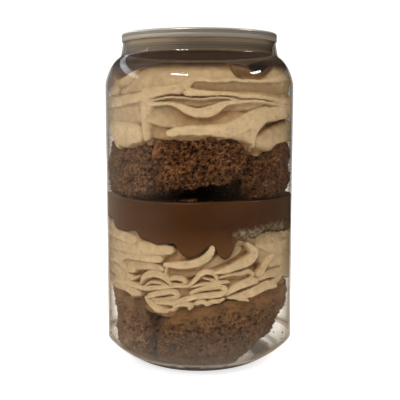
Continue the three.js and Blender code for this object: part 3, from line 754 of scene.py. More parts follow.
# %% Upper cream ribbons
UPPER_RIBBONS = [
    (0.95, 0.95, 4, 4, (-98, 90.5, 3), (-34, 91.5, 3), (-25, 91.5, 3.2, 0.9), (15, 91.5, 3.2, 0.9),
     (24, 91.8, 3), (40, 91.5, 3), (98, 90.5, 3)),
    (0.4, 0.4, 4, 4, (-122, 101, 5), (-92, 100.6, 5.5), (-74, 99.4, 5), (-62, 96.8, 3.4)),
    (0.9, 0.9, 4, 4, (122, 101, 5), (92, 100.6, 5.5), (74, 99.2, 5)),
    (1.3, 2.6, 6, 6, (-32, 88, 2.6, -1.4), (-26, 87.6, 3.2, -1.1), (-20, 87, 3.4, -0.8),
     (-12, 86.2, 3, -0.2), (-4, 85.4, 2.4), (4, 85.2, 2.2), (12, 86.2, 2.6), (20, 88, 2.9), (28, 89.3, 2.6),
     (38, 90.2, 1.8), (48, 90.8, 0.9)),
    (1.5, 2, 4, 4, (-30, 83, 3), (-24, 82.4, 3.2), (-19, 81.4, 2.4)),
    (0.8, 0.4, 5, 5, (-98, 86.6, 2.6), (-55, 87.1, 2.9), (-37, 87.3, 3)),
    (1.2, 1.7, 4, 4, (-24, 91.3, 0.8), (-12, 91.5, 1.2), (-3, 91.2, 1.5), (6, 91.6, 1.2), (15, 92.2, 0.6)),
    (2.1, 0.9, 5, 5, (-3, 96.2, 1.7), (10, 96.2, 1.9), (30, 95.9, 2), (47, 95.6, 2), (62, 95.5, 2.2),
     (98, 95.4, 2.8)),
    (0.1, 0.8, 2.3, 2.2, (38, 78.6, 2.6), (47, 79, 3.6), (58, 79.8, 4.3), (72, 80.4, 4.6),
     (100, 80.6, 4.6)),
    (0.5, 1.6, 3, 3, (-54, 95.4, 1.6), (-46, 97, 3), (-36, 98.6, 4), (-26, 100, 4.3), (-12, 100.6, 4.1),
     (2, 100.9, 3.7), (14, 101, 3.4), (20, 100.2, 2.6)),
    (0.05, 0.35, 5, 6, (-98, 90.4, 1.8), (-62, 91.5, 1.7), (-52, 92, 1.75), (-39, 92.8, 1.5),
     (-28, 94.5, 1.7), (-18, 95.3, 1.35), (-12, 95.4, 1.6)),
    (0.35, 0.35, 4, 4, (2, 98.5, 0.6), (-4, 98, 1.1), (-8, 96.4, 1.7), (-7.5, 95, 1.5), (-3, 94.2, 1),
     (2, 94, 0.8)),
    (0, 0.05, 4, 6, (-7, 94.1, 1), (0, 94, 1), (8, 94.1, 0.75), (15, 94.1, 0.65), (31, 93.2, 0.75),
     (42, 92.9, 0.75), (52, 92.4, 0.9), (62, 91.9, 1), (98, 91.2, 1.5)),
    (0.15, 0.3, 3, 5, (-2, 98, 0.5), (12, 98.1, 0.5), (22, 98.3, 0.6), (40, 98.2, 0.6), (53, 98.9, 0.9),
     (64, 99.6, 1.3), (98, 99, 2)),
    (0.3, 0.3, 3, 4, (-27, 92.1, 0.5), (-20, 92.8, 0.45), (-10, 92.7, 0.4), (0, 92.2, 0.4), (10, 92.9, 0.4),
     (17, 92.6, 0.4), (24, 92.1, 0.4)),
    (0, 0.1, 6, 5, (-34, 91.2, 0.8), (-26, 90.8, 0.75), (-20, 90.7, 0.65), (-16, 90.4, 0.7),
     (-11, 89.45, 1.05), (-6, 88.3, 1.35), (0, 87.8, 1.65), (6, 88.3, 1.9), (10, 89.3, 1.55), (15, 90.7, 1),
     (21, 91.5, 0.65), (28, 91.7, 0.45), (36, 91.6, 0.45), (45, 91.2, 0.5), (58, 90.8, 0.6),
     (70, 90.4, 0.8), (98, 90, 1.2)),
    (0, 0, 4, 3, (-17, 81.2, 1.6), (-12, 81.4, 2.2), (-2, 81.4, 2.4), (8, 81.5, 2.5), (16, 82, 2.6),
     (24, 83.4, 3), (31, 85.2, 3.1), (37, 87, 2.3), (43, 88.7, 1.4)),
    (0.25, 0.25, 4, 4, (22, 81.6, 2.4), (28, 81.4, 2.7), (31.5, 79.2, 1.8)),
    (0, 0.05, 2.6, 2.6, (-32, 93, 3.2), (-32.4, 89.4, 2.9), (-32.8, 85.6, 2.2), (-32.6, 81.6, 1.9),
     (-32.4, 78.4, 1.3)),
    (0.2, 0.2, 4, 4, (-90, 89.6, 2.2), (-80, 87.2, 2.2), (-68, 82.5, 2.3), (-61, 79.2, 1.9),
     (-58, 77, 1.2)),
    (0, 0, 3, 4, (-68, 83, 2.6), (-58, 81.4, 3.9), (-49, 80.9, 4.4), (-41.5, 80.6, 3.8)),
    (0, 0, 5, 5, (100, 88.8, 2.5), (67, 88.2, 2.2), (52, 87.7, 2.6), (43, 86.8, 2.4), (38.5, 85.3, 2.2),
     (35, 83.4, 1.9), (33, 81.2, 1.5), (32.4, 79, 1), (32.2, 77, 0.6), (32.3, 75.4, 0.4)),
]
UPPER_RIBBONS = pressed_together(UPPER_RIBBONS, 1.03, 1.4, 0.12)
print(f"{len(UPPER_RIBBONS)} ribbons in front, and as many behind")

# %% [markdown]
# The lower cream was piped in small ruffles. There are three lists, from the back to the front: wide smears
# and the faces deep between the folds; the flat ribbons at both sides; and in the middle the narrow folds,
# which run in hoops, hairpins and lobes because the cream piled up on itself. The ganache ran down over its
# top.

# %% Lower cream ribbons
LOWER_SMEARS = [
    (0.75, 0.75, 3, 3, (-102, 42, 10), (-58, 42, 9), (-36, 43, 5), (-24, 43, 3)),
    (0.75, 0.75, 3, 3, (42, 43, 4), (56, 42, 8), (102, 42, 10)),
    (1.5, 2.4, 4, 4, (-20, 36.6, 2.6), (-8, 36.8, 2.4), (-1, 37.8, 1.8)),
    (1.5, 2.1, 3, 3, (-34, 30.6, 3), (-16, 30.6, 3.4), (0, 31.2, 3.2), (16, 31.6, 3), (32, 33, 2.6)),
    (1.4, 2.2, 4, 4, (10, 35, 1.8), (18, 35.4, 1.9), (29, 35.2, 1.7)),
    (1.2, 1.6, 4, 4, (0, 38.6, 1.6), (8, 39.6, 1.9), (16, 41.6, 1.9), (24, 43.8, 1.8)),
    (1.2, 1.2, 3, 3, (20, 46.6, 2.4), (34, 47.2, 2.6), (52, 47.6, 2.8), (66, 47.4, 2.4)),
    (1.4, 1.8, 3, 3, (-30, 26.4, 2), (-20, 26, 2.2), (-8, 26.6, 1.8), (8, 27.6, 1.6), (22, 29, 1.4)),
]
LOWER_SIDES = [
    (0, 0.1, 4, 4, (-98, 48, 2.6), (-66, 47.6, 2.4), (-52, 46.4, 2), (-42, 45.6, 1.4)),
    (0.05, 0.1, 4, 4, (-98, 43.4, 2.2), (-60, 43, 2.2), (-40, 43.6, 2.4), (-26, 43.8, 2.2),
     (-17, 43.6, 1.4)),
    (0, 0.1, 4, 4, (-96, 38.8, 2.2), (-62, 38.4, 2), (-50, 40, 1.2), (-38, 40.6, 1.4), (-24, 40.6, 1.4)),
    (0.1, 0.1, 4, 4, (-60, 42.4, 1), (-56, 38.6, 1.1), (-50, 35.4, 1), (-47, 33.6, 0.7)),
    (0.1, 0.1, 4, 4, (-96, 34.8, 1.9), (-64, 34.4, 1.8), (-54, 34, 1.4), (-44, 33.2, 1)),
    (0.25, 0.3, 4, 4, (-46, 37, 1.6), (-38, 37.6, 1.5), (-28, 38, 1.2), (-22, 37.2, 0.8)),
    (0, 0.2, 3, 3, (-72, 44.6, 0.8), (-66, 40.6, 1), (-58, 37.4, 1.1), (-50, 35.8, 1), (-42, 35.6, 0.7)),
    (0, 0.2, 3, 3, (-76, 36.6, 0.7), (-66, 33.6, 1), (-56, 32.6, 1), (-46, 32.8, 0.8), (-40, 33.6, 0.5)),
    (0, 0.2, 3, 3, (50, 46, 0.8), (56, 43, 1.1), (66, 40.6, 1.2), (78, 39.4, 1.2), (98, 39, 1.4)),
    (0, 0.2, 3, 3, (64, 37.6, 0.8), (60, 35.6, 0.9), (63, 33.2, 1), (72, 31.4, 1), (90, 30.6, 1.2)),
    (0, 0, 4, 3, (-96, 29.4, 2), (-62, 29.6, 1.8), (-50, 29.4, 1.7), (-43, 28.4, 1.6), (-38, 28, 0.9)),
    (0.1, 0.2, 4, 4, (39, 33.6, 1.2), (48, 34.2, 1.5), (58, 34.2, 1.8), (72, 33.4, 2.2), (102, 32.6, 2.4)),
    (0.1, 0.1, 4, 4, (48, 37.8, 1.4), (58, 38.2, 2), (70, 37.8, 2.2), (102, 37.2, 2.4)),
    (0.1, 0.1, 4, 4, (40, 43.6, 1), (48, 42.8, 1.6), (60, 42.6, 2), (102, 42.2, 2.4)),
    (0.1, 0.1, 4, 4, (62, 47, 1.6), (74, 46.6, 2), (100, 46.2, 2.4)),
]
LOWER_FOLDS = [
    (0, 0, 6, 4, (-20, 38.7, 0.7), (-11, 38.7, 1.1), (-3, 39.5, 1.2), (3, 40.9, 1.25), (6.5, 42.8, 1.2),
     (8, 45.2, 0.7)),
    (0, 0.1, 6, 4, (10, 36.5, 0.5), (17, 37.4, 1), (24, 38.5, 1.3), (31, 39.8, 1.5), (34.5, 41.6, 1.3),
     (32, 43.7, 1), (29, 45.1, 0.6)),
    (0.1, 0.1, 3, 3, (-19, 37.9, 0.4), (-20, 35.7, 0.5), (-18, 34.1, 0.5)),
    (0.1, 0.5, 4, 4, (-19, 34, 0.6), (-13, 34.6, 0.8), (-9, 34.1, 0.8), (-8, 33, 0.7), (-12, 32.3, 0.5),
     (-17, 32.4, 0.4)),
    (0, 0.3, 5, 4, (-37, 31.7, 0.6), (-35, 33.8, 0.9), (-31, 35.1, 1.1), (-26, 35.5, 1.1), (-21, 34.7, 1),
     (-18, 33.2, 0.7), (-16, 32.2, 0.4)),
    (0.2, 0.7, 3, 3, (-34, 31.2, 0.4), (-30, 32.5, 0.6), (-25, 32.5, 0.6), (-20, 32, 0.4)),
    (0, 0.2, 4, 4, (-66, 30.7, 0.9), (-52, 31.2, 1), (-44, 31, 1), (-36, 30.2, 0.8), (-27, 30.7, 0.7),
     (-18, 31.5, 0.55), (-7, 31.9, 0.45)),
    (0, 0.3, 5, 4, (-31, 28, 0.8), (-23, 29.3, 0.9), (-16, 29.9, 0.9), (-13, 29, 0.9), (-14, 27.9, 0.8),
     (-20, 27.3, 0.6), (-28, 26.9, 0.5)),
    (0, 0.2, 4, 3, (-33, 27.3, 0.6), (-30, 25.4, 1.2), (-25, 24, 1.3), (-19, 23.5, 0.7)),
    (0.5, 1, 3, 3, (-28, 26, 0.7), (-23, 25.3, 0.9), (-20, 24.5, 0.6)),
    (0, 0.3, 4, 4, (-26, 26.1, 0.5), (-21, 26.2, 0.6), (-17, 26.1, 0.7), (-14, 25.4, 0.8), (-15, 24, 0.7),
     (-18, 23.7, 0.4)),
    (0, 0.2, 4, 3, (-13, 25.4, 0.7), (-9, 26, 0.9), (-5, 25.6, 0.9), (-6, 24.4, 0.6)),
    (0, 0.2, 5, 5, (-17, 26, 0.4), (-8, 27.5, 0.7), (-1, 28.7, 0.9), (6, 29.1, 0.95), (12, 29.2, 0.9),
     (15, 30.4, 0.85), (13, 31.6, 0.8), (7, 31.6, 0.75), (0, 30.9, 0.7), (-5, 29.6, 0.5)),
    (0, 0.2, 4, 3, (-2, 26.2, 0.7), (1, 26.9, 0.9), (4, 26.4, 0.8), (4, 25.7, 0.6)),
    (0.1, 0.3, 4, 3, (5, 26, 0.7), (7, 26.8, 0.9), (11, 26.8, 0.8), (14, 27.6, 0.5)),
    (0, 0.3, 4, 4, (-6, 32.3, 0.4), (-2, 34.2, 0.7), (1, 36.2, 0.8), (5, 36.7, 0.85), (9, 35.9, 0.8),
     (10.5, 34.4, 0.6)),
    (0.1, 0.5, 3, 3, (2, 35, 0.35), (5, 34.3, 0.5), (10, 33.5, 0.6), (17, 33.2, 0.5)),
    (0.1, 0.4, 4, 4, (-5, 31.9, 0.4), (2, 32.7, 0.5), (8, 32.9, 0.5), (14, 33.1, 0.4)),
    (0, 0.1, 6, 4, (16, 29.1, 0.5), (20, 30.5, 1), (27, 31.9, 1.2), (32, 32.6, 1.3), (36, 32.5, 0.9)),
    (0.3, 0.6, 4, 4, (12, 34.9, 0.5), (18, 35.7, 0.6), (25, 35.6, 0.7), (30, 36.3, 0.8), (34, 34.9, 0.7),
     (32, 33.9, 0.4)),
    (0, 0.1, 6, 4, (17, 27.8, 0.4), (24, 27.9, 0.9), (31, 28.6, 1.3), (38, 29.6, 1.5), (46, 30.3, 1.5),
     (54, 29.5, 0.7)),
    (0, 0, 4, 4, (24, 27.4, 0.9), (30, 26.3, 0.35)),
    (0.1, 0.2, 4, 4, (37, 34.4, 0.7), (41, 35.9, 1), (44, 38.1, 1.1), (51, 40.3, 1), (61, 41.2, 0.8)),
    (0.1, 0.3, 4, 4, (49, 30.8, 0.8), (57, 32, 1.2), (61, 34.6, 1.2), (72, 36.8, 1)),
]
LOWER_RIBBONS = (LOWER_SMEARS + pressed_together(LOWER_SIDES, 1.06, 1.3, 0.35)
                 + pressed_together(LOWER_FOLDS, 1.16, 1.5, 0.15))
print(f"{len(LOWER_RIBBONS)} ribbons in front, and as many behind")

# %% [markdown]
# A layer of cream is then one surface: at each angle and height it stands as far out as the wall lets it,
# less the depth of the ribbons there. The top and bottom are closed with loops that shrink to the middle.
# Fine waves along the ribbons are the marks of the piping nozzle.

# %% Layer of cream
# Painted shade: the underside and top faces take the colour of cream this deep behind the wall.
UNDERSIDE_DEPTH, TOP_DEPTH = 3.0, 2.0   # the two faces are coloured like cream this deep behind the wall
HIDDEN_ABOVE, HIDDEN_BELOW = 2.6, 2.0   # how far cream stands back where other food lies in front of it


def food_layer(name, low, high, side_depth, bottom, top, columns, rows, rings, shade=None):
    """
    A round layer. low and high are the heights of its side's edges by angle; side_depth(angle, height) is
    how far the side stays behind the wall; bottom and top are the heights of its faces at (x, y).
    shade(angle, height) paints shade: the colour of deeper cream where it is more than 0.
    """
    turn = full_turn(columns)
    angle = np.degrees(half_turns(turn))
    part = np.linspace(0, 1, rows)[:, None]
    height = low(angle) * (1 - part) + high(angle) * part
    depth, across = side_depth(np.broadcast_to(angle, height.shape), height)
    radius = inner_reach(height) - depth
    inner = np.linspace(0, 1, rings + 1)[1:-1]

    def face(edge_radius, edge_height, surface, order):
        """Loops that shrink from the side's edge to the middle, and their heights."""
        scale = inner[order][:, None] ** 0.8
        ring = edge_radius * scale
        x, y = ring * np.sin(turn), -ring * np.cos(turn)
        blend = smoothstep(scale, 0.72, 1.0)
        return ring, surface(x, y) * (1 - blend) + edge_height * blend

    low_ring, low_height = face(radius[0], height[0], bottom, slice(None))
    high_ring, high_height = face(radius[-1], height[-1], top, slice(None, None, -1))
    ring = np.concatenate([low_ring, radius, high_ring])
    level = np.concatenate([low_height, height, high_height])
    edge = np.concatenate([np.zeros_like(low_ring), across, np.zeros_like(high_ring)])
    # Painted shade: the shade adds to the depth that sets the colour, not to the shape.
    toned = depth if shade is None else depth + shade(angle, height)
    deep = [np.full_like(low_ring, UNDERSIDE_DEPTH), toned, np.full_like(high_ring, TOP_DEPTH)]
    loops = around(turn, ring, level)
    poles = [(0, 0, float(bottom(0.0, 0.0))), (0, 0, float(top(0.0, 0.0)))]
    return solid_of_loops(name, loops, poles, {"across": edge, "depth": np.concatenate(deep)})


def cream_side(ribbons, floor_depth, edge_drop, hide_above=None, hide_below=None, seed=0):
    """Depth of a layer's side: its ribbons over a wavy floor, with fine nozzle marks along each ribbon."""
    def side_depth(angle, height):
        """The depth behind the wall, and the place across the ribbon that shows."""
        spots = around(np.radians(angle), INSIDE, height)
        depth = floor_depth + 0.7 * rough_noise(spots, 5.0, 3, seed)
        across = np.zeros_like(depth)
        shift = 0.30 * rough_noise(spots, 6.0, 3, seed + 5)
        for ribbon in ribbons + turned_round(ribbons):
            lay_ribbon(angle + 1.6 * shift, height + shift, depth, across, ribbon, edge_drop)
        marks = np.sin(9.0 * across + 3 * smooth_noise(spots, 8.0, seed + 9))
        depth += 0.05 * marks * smoothstep(depth, 0.1, 0.6)
        depth += 0.10 * rough_noise(spots, 1.6, 2, seed + 3) * smoothstep(depth, 0.1, 0.8)
        depth += 0.085 * rough_noise(spots, 2.0, 4, seed + 4)
        depth += 0.28 * (1 - smoothstep(pore_noise(spots, 3.1, seed + 6), 0.07, 0.16))
        if hide_above is not None:
            edge = hide_above(angle)
            depth = np.maximum(depth, HIDDEN_ABOVE * smoothstep(height, edge - 0.3, edge + 0.5))
        if hide_below is not None:
            edge = hide_below(angle) + 0.5 * rough_noise(spots, 2.2, 3, 71)
            depth = np.maximum(depth, HIDDEN_BELOW * (1 - smoothstep(height, edge - 0.6, edge)))
        return np.maximum(depth, -0.02), across
    return side_depth


plain_depth, _ = cream_side([], 2.0, 2.0)(np.zeros(3), np.array([30.0, 40.0, 50.0]))
print("depth behind the wall where no ribbon lies:", plain_depth.round(2), "mm")

# %% [markdown]
# Whipped chocolate cream is soft and matt, with a faint sheen of fat, and a light brown that leans to
# yellow. Its colour is painted shade, set by the depth behind the wall: palest where it is pressed on the
# wall, and a deep brown in the hollows, where little light comes back out. Tiny bubbles pit its face.

# %% Cream material
def cream_material(name, pressed, shaded, deep, deepest):
    """Painted shade by the depth behind the wall, mottled, with bubbles and nozzle marks along each ribbon.
    """
    material, nodes, shader, place = new_material(name)
    depth = nodes.remap(nodes.attribute("depth"), 0.0, 3.0)
    # Painted shade: the deeper the cream lies behind the wall, the darker its colour.
    colours = nodes.ramp(depth, (0.06, *pressed), (0.42, *shaded), (0.74, *deep), (0.95, *deepest))
    mottle = nodes.remap(nodes.noise(place, 380.0, 6.0, 0.7), 0.3, 0.7, 0.79, 1.15)
    specks = nodes.remap(nodes.add("TexVoronoi", Vector=place, Scale=330.0), 0.04, 0.09, 0.62)
    pits = nodes.remap(nodes.add("TexVoronoi", Vector=place, Scale=620.0), 0.05, 0.22)
    waves = nodes.maths("SINE", nodes.maths("MULTIPLY", nodes.attribute("across"), 26.0))
    marks = nodes.maths("MULTIPLY_ADD", waves, 0.25, pits)
    heights = nodes.maths("ADD", marks, nodes.noise(place, 1000.0, 3.0))
    speckled = nodes.maths("MULTIPLY", mottle, specks)
    nodes.paint(shader, {
        "Base Color": nodes.add("VectorMath", colours, operation="SCALE", Scale=speckled),
        "Roughness": 0.55,
        "Specular IOR Level": 0.35,
        "Normal": nodes.add("Bump", Strength=0.5, Distance=0.0003, Height=heights)})
    return material


whipped = cream_material("whipped_cream", (0.65, 0.460, 0.260), (0.50, 0.338, 0.178), (0.45, 0.245, 0.100),
                         (0.20, 0.098, 0.042))


RIM_HEIGHT, MOUND_RISE, BACK_SHARE = 98.0, 5.9, 1.35


def upper_cream_rim(angle):
    """Top edge of the upper cream: a mound in front, a dip at the right, and high round the back."""
    mound = smoothstep(angle, -62, -30) * (1 - smoothstep(angle, 16, 23))
    back = BACK_SHARE * np.maximum(smoothstep(-angle, 64, 98), smoothstep(angle, 37, 66))
    waves = 0.8 * np.sin(np.radians(4 * angle)) * (1 - mound)
    return RIM_HEIGHT + MOUND_RISE * np.maximum(mound, back) + waves


def upper_cream_hollow(x, y):
    """The top face: the mound in front, a hollow behind it, and the high edge at the back."""
    return upper_cream_top(x, y) - 1.5 * smoothstep(y, -4, 6)


def shoulder_shade(angle, height):
    """Painted shade: little light reaches the cream in the corner under the shoulder, left of the mound."""
    return 3.2 * bell(angle, -84, 26, 4) * smoothstep(height - 0.05 * (angle + 84), 93.5, 97.0)


upper_cream = food_layer(
    "upper_cream_ribbons",
    low=lambda angle: upper_cake_rim(angle) - 2.0,
    high=upper_cream_rim,
    side_depth=cream_side(UPPER_RIBBONS, floor_depth=2.8, edge_drop=2.6, hide_below=upper_cake_rim, seed=11),
    bottom=lambda x, y: upper_cake_top(x, y) - 0.8,
    top=upper_cream_hollow,
    columns=640, rows=100, rings=20, shade=shoulder_shade)
dress(upper_cream, whipped, "cream", "upper_cream")

lower_cream = food_layer(
    "lower_cream_ruffles",
    low=lambda angle: bottom_cake_rim(angle) - 2.6,
    high=lambda angle: ganache_rim(angle) + 2.2,
    side_depth=cream_side(LOWER_RIBBONS, floor_depth=2.4, edge_drop=1.9, hide_above=ganache_rim, seed=23),
    bottom=lambda x, y: bottom_cake_top(x, y) - 0.8,
    top=lambda x, y: 50.0 + 0 * x,
    columns=680, rows=100, rings=16)
dress(lower_cream, whipped, "cream", "lower_cream")

# %% [markdown]
# ## Ganache
# Ganache was poured in warm. It set level on top, clung to the wall with a thin raised edge, and ran down
# between the cream and the wall in drips. At the front right a little air was trapped under it: the edge is
# ragged there and stands back from the wall, and the attribute "froth" turns it into pale foam.

# %% Ganache
DRIP_THICKNESS = 2.2
DRIP_EDGE = 0.55              # height of the round part at the lower end of the drips
POCKET_ANGLE, POCKET_HEIGHT, POCKET_SPREAD, POCKET_GAP = 43, 48.4, 2.9, 0.9
UNDERSIDE = 51.0


def ganache_layer(columns=560, side_rows=26, rings=26):
    """Loops from the underside's middle to the drips, up the wall, over the raised edge and back in."""
    turn = full_turn(columns)
    angle = np.degrees(half_turns(turn))
    round_the_rim = np.stack([32 * np.sin(turn), 32 * np.cos(turn), 0 * turn], -1)
    rim = ganache_rim(angle) + 0.25 * smooth_noise(round_the_rim, 4.0, 3)
    rim += 0.9 * bell(angle, POCKET_ANGLE, 24, 4) * rough_noise(round_the_rim, 1.6, 3, 8)
    drip_radius = INSIDE - 0.2
    under_radius = np.linspace(0.06, 1, rings)[:, None] * drip_radius
    steep = smoothstep(under_radius, INSIDE - DRIP_THICKNESS - 2.0, INSIDE - DRIP_THICKNESS + 0.4)
    under_height = UNDERSIDE * (1 - steep) + (rim + DRIP_EDGE) * steep
    under_radius = np.broadcast_to(under_radius, under_height.shape)
    quarter = np.linspace(0, math.pi / 2, 6)[:, None]
    round_radius = drip_radius + (IN_WALL - drip_radius) * np.sin(quarter)
    round_height = rim + DRIP_EDGE * np.cos(quarter) ** 2
    round_radius = np.broadcast_to(round_radius, round_height.shape)
    edge = GANACHE_TOP + 0.35 + 1.6 * bell(angle, -70, 16) + 0.12 * np.sin(np.radians(5 * angle))
    part = np.linspace(0, 1, side_rows)[1:, None]
    side_height = rim * (1 - part) + edge * part
    off_middle = side_height - POCKET_HEIGHT - 0.03 * (angle - POCKET_ANGLE)
    pocket = bell(angle, POCKET_ANGLE, 25, 4) * np.exp(-(off_middle / POCKET_SPREAD) ** 2)
    ragged = smoothstep(rough_noise(around(turn, IN_WALL, side_height), 2.4, 3, 91), -0.5, 0.6)
    side_radius = IN_WALL - POCKET_GAP * pocket * ragged
    inward = np.linspace(0, 1, rings + 1)[1:-1, None] ** 1.7
    top_radius = IN_WALL * (1 - inward) * np.ones_like(angle)
    fall = np.exp(-(IN_WALL - top_radius) / 0.8)
    spots = np.stack([top_radius * np.sin(turn), top_radius * np.cos(turn), 0 * top_radius], -1)
    top_height = GANACHE_TOP - 0.1 + (edge - GANACHE_TOP + 0.1) * fall + 0.08 * rough_noise(spots, 7.0, 2, 5)
    radius = np.concatenate([under_radius, round_radius, side_radius, top_radius])
    level = np.concatenate([under_height, round_height, side_height, top_height])
    before, after = len(under_radius) + len(round_radius), len(top_radius)
    froth = np.pad(pocket, ((before, after), (0, 0)))
    poles = [(0, 0, UNDERSIDE), (0, 0, GANACHE_TOP - 0.1)]
    return solid_of_loops("ganache_layer", around(turn, radius, level), poles, {"froth": froth})


def ganache_material():
    """Smooth dark chocolate, lighter in its thin drips, and frothy round a pocket of air."""
    material, nodes, shader, place = new_material("set_ganache")
    cloud = nodes.noise(place, 70.0, 4.0)
    dark = nodes.ramp(cloud, (0.3, 0.044, 0.0132, 0.0017), (0.75, 0.070, 0.0228, 0.0037))
    thin = nodes.remap(nodes.add("SeparateXYZ", place).outputs["Z"], UNDERSIDE * MM, 43.0 * MM)
    drips = nodes.blend(thin, dark, (0.105, 0.040, 0.0100, 1))
    bubbles = nodes.noise(place, 800.0, 3.0, 0.75)
    foam = nodes.ramp(bubbles, (0.42, 0.070, 0.040, 0.018), (0.66, 0.27, 0.205, 0.13))
    chosen = nodes.remap(nodes.maths("MULTIPLY", nodes.attribute("froth"), bubbles), 0.16, 0.40)
    nodes.paint(shader, {
        "Base Color": nodes.blend(chosen, drips, foam),
        "Roughness": 0.32,
        "Specular IOR Level": 0.3,
        "Normal": nodes.add("Bump", Strength=0.06, Distance=0.0002, Height=nodes.noise(place, 900.0, 3.0))})
    return material


ganache = ganache_layer()
dress(ganache, ganache_material(), "ganache", "ganache")
print(f"{ganache.name}: lowest drip {min(height for _, height in GANACHE_EDGE):.1f} mm up")

# %% [markdown]
# ## Torn cake
# Each chunk is star-shaped: from its middle, a ray in any direction leaves it once. The ray stops at the
# wall or at a torn side. Then the whole surface is pushed in and out along its own normals: lumps first,
# then crumbs, and pores that bite deep.

# %% Cake chunk
CORNER_POWER = 8.0            # a higher power makes a sharper corner between wall and tear
LEAST_FACING = 0.05


def torn_side(direction, height, seed):
    """Three waves added up, always biting inwards, that keep a torn side from being straight."""
    wave = (np.sin(3 * direction + 0.55 * height + seed)
            + 0.7 * np.sin(7 * direction - 0.9 * height + 2.1 * seed)
            + 0.5 * np.sin(11 * direction + 1.3 * height + 3.7 * seed))
    return 0.6 * (1 - wave / 2.2)


def chunk_reach(direction, height, share, centre, cuts, inset, seed, roundness=0.1, tuck=None):
    """
    Distance from the centre to the side: the soft least of the distance to the wall and to each cut, which
    is (the sum of the distances to the power -8) to the power -1/8.
    """
    unit = facing(direction)
    along = unit @ np.array(centre, float)
    wall = inner_reach(height) - inset
    to_wall = -along + np.sqrt(along ** 2 - centre[0] ** 2 - centre[1] ** 2 + wall ** 2)
    total = to_wall ** -CORNER_POWER
    for face_angle, distance in cuts:
        normal = facing(math.radians(face_angle))
        towards = unit @ normal
        to_cut = (distance - normal @ np.array(centre, float)) / np.maximum(towards, LEAST_FACING)
        total = total + np.where(towards > LEAST_FACING, to_cut ** -CORNER_POWER, 0)
    limit = total ** (-1 / CORNER_POWER)
    rounding = 1 - roundness * np.abs(2 * share - 1) ** 3
    tucked = tuck(direction, height) if tuck else 0
    return np.maximum(limit * rounding - torn_side(direction, height, seed) - tucked, 2)


def grid_normals(loops):
    """Outward normals of a closed grid: the cross product of the step round it and the step up it."""
    round_step = np.roll(loops, -1, 1) - np.roll(loops, 1, 1)
    up_step = np.gradient(loops, axis=0)
    normals = np.cross(round_step, up_step)
    return normals / np.maximum(np.linalg.norm(normals, axis=-1, keepdims=True), 1e-9)


def crumb_relief(points, seed, smooth_crust=None):
    """
    How far each point moves along its normal. The size of smooth noise, without its sign, makes round
    grains that meet in creases, at three sizes; the places are first shaken, so that no two grains are
    alike. Pits bite where cell noise is near one of its points. A smooth crust keeps a little of it.
    """
    shaken = points + 0.35 * np.stack([smooth_noise(points, 0.8, seed + step) for step in (1, 2, 3)], -1)
    coarse = 0.70 * np.abs(smooth_noise(shaken, 1.8, seed + 7)) + 0.25 * smooth_noise(points, 3.4, seed + 9)
    grains = 0.62 * np.abs(smooth_noise(shaken, 0.85, seed + 13))
    fine = 0.36 * smooth_noise(shaken, 0.55, seed + 19)
    pits = -0.9 * (1 - smoothstep(pore_noise(shaken, 1.5, seed + 31), 0.22, 0.48))
    relief = coarse + grains + fine + pits - 0.55
    if smooth_crust is not None:
        relief = relief * (1 - 0.62 * smooth_crust(points))
    return relief, 0.45 * rough_noise(points, 5.0, 2, seed)


def cake_chunk(name, centre, bottom, top, seed, columns, rows, rings, crust=None, **shape):
    """
    A chunk from its middle, its two faces and its cuts, with the crumb's relief over all of it. The
    attribute keeps the relief as a share, from 0 in the pits to 1 on the tips.
    """
    direction = full_turn(columns)
    unit = facing(direction)
    middle = 0.5 * (bottom(*centre) + top(*centre))
    nominal = chunk_reach(direction, np.full(columns, float(middle)), 0.5, centre, seed=seed, **shape)
    edge = np.array(centre) + unit * nominal[:, None]
    low, high = bottom(edge[:, 0], edge[:, 1]), top(edge[:, 0], edge[:, 1])
    part = np.linspace(0, 1, rows)[:, None]
    height = low * (1 - part) + high * part
    out = chunk_reach(np.broadcast_to(direction, height.shape), height, part, centre, seed=seed, **shape)
    inner = np.linspace(0, 1, rings + 1)[1:-1, None]
    low_out, high_out = out[0] * inner, out[-1] * inner[::-1]

    def face_points(ring, surface, edge_height, order):
        """Heights of a face's loops, which meet the side's edge at its rim."""
        x, y = centre[0] + unit[:, 0] * ring, centre[1] + unit[:, 1] * ring
        blend = smoothstep(inner[order], 0.8, 1.0)
        return surface(x, y) * (1 - blend) + edge_height * blend

    low_height = face_points(low_out, bottom, height[0], slice(None))
    high_height = face_points(high_out, top, height[-1], slice(None, None, -1))
    reach = np.concatenate([low_out, out, high_out])
    level = np.concatenate([low_height, height, high_height])
    loops = np.stack([centre[0] + unit[:, 0] * reach, centre[1] + unit[:, 1] * reach, level], -1)
    relief, lumps = crumb_relief(loops, int(seed * 10), crust)
    loops = loops + grid_normals(loops) * (relief + lumps)[..., None]
    radius = np.hypot(loops[..., 0], loops[..., 1])
    squeeze = np.minimum(1, inner_reach(loops[..., 2]) / np.maximum(radius, 1e-6))
    loops[..., :2] *= squeeze[..., None]
    poles = [loops[0].mean(0), loops[-1].mean(0)]
    low_share, high_share = np.percentile(relief, (3, 97))
    relief = (relief - low_share) / (high_share - low_share)
    crusty = np.zeros_like(relief) if crust is None else crust(loops)
    return solid_of_loops(name, loops, poles, {"relief": relief, "crust": crusty})


print("a torn side bites inwards by", torn_side(np.arange(5.0), 70.0, 1.3).round(2), "mm")
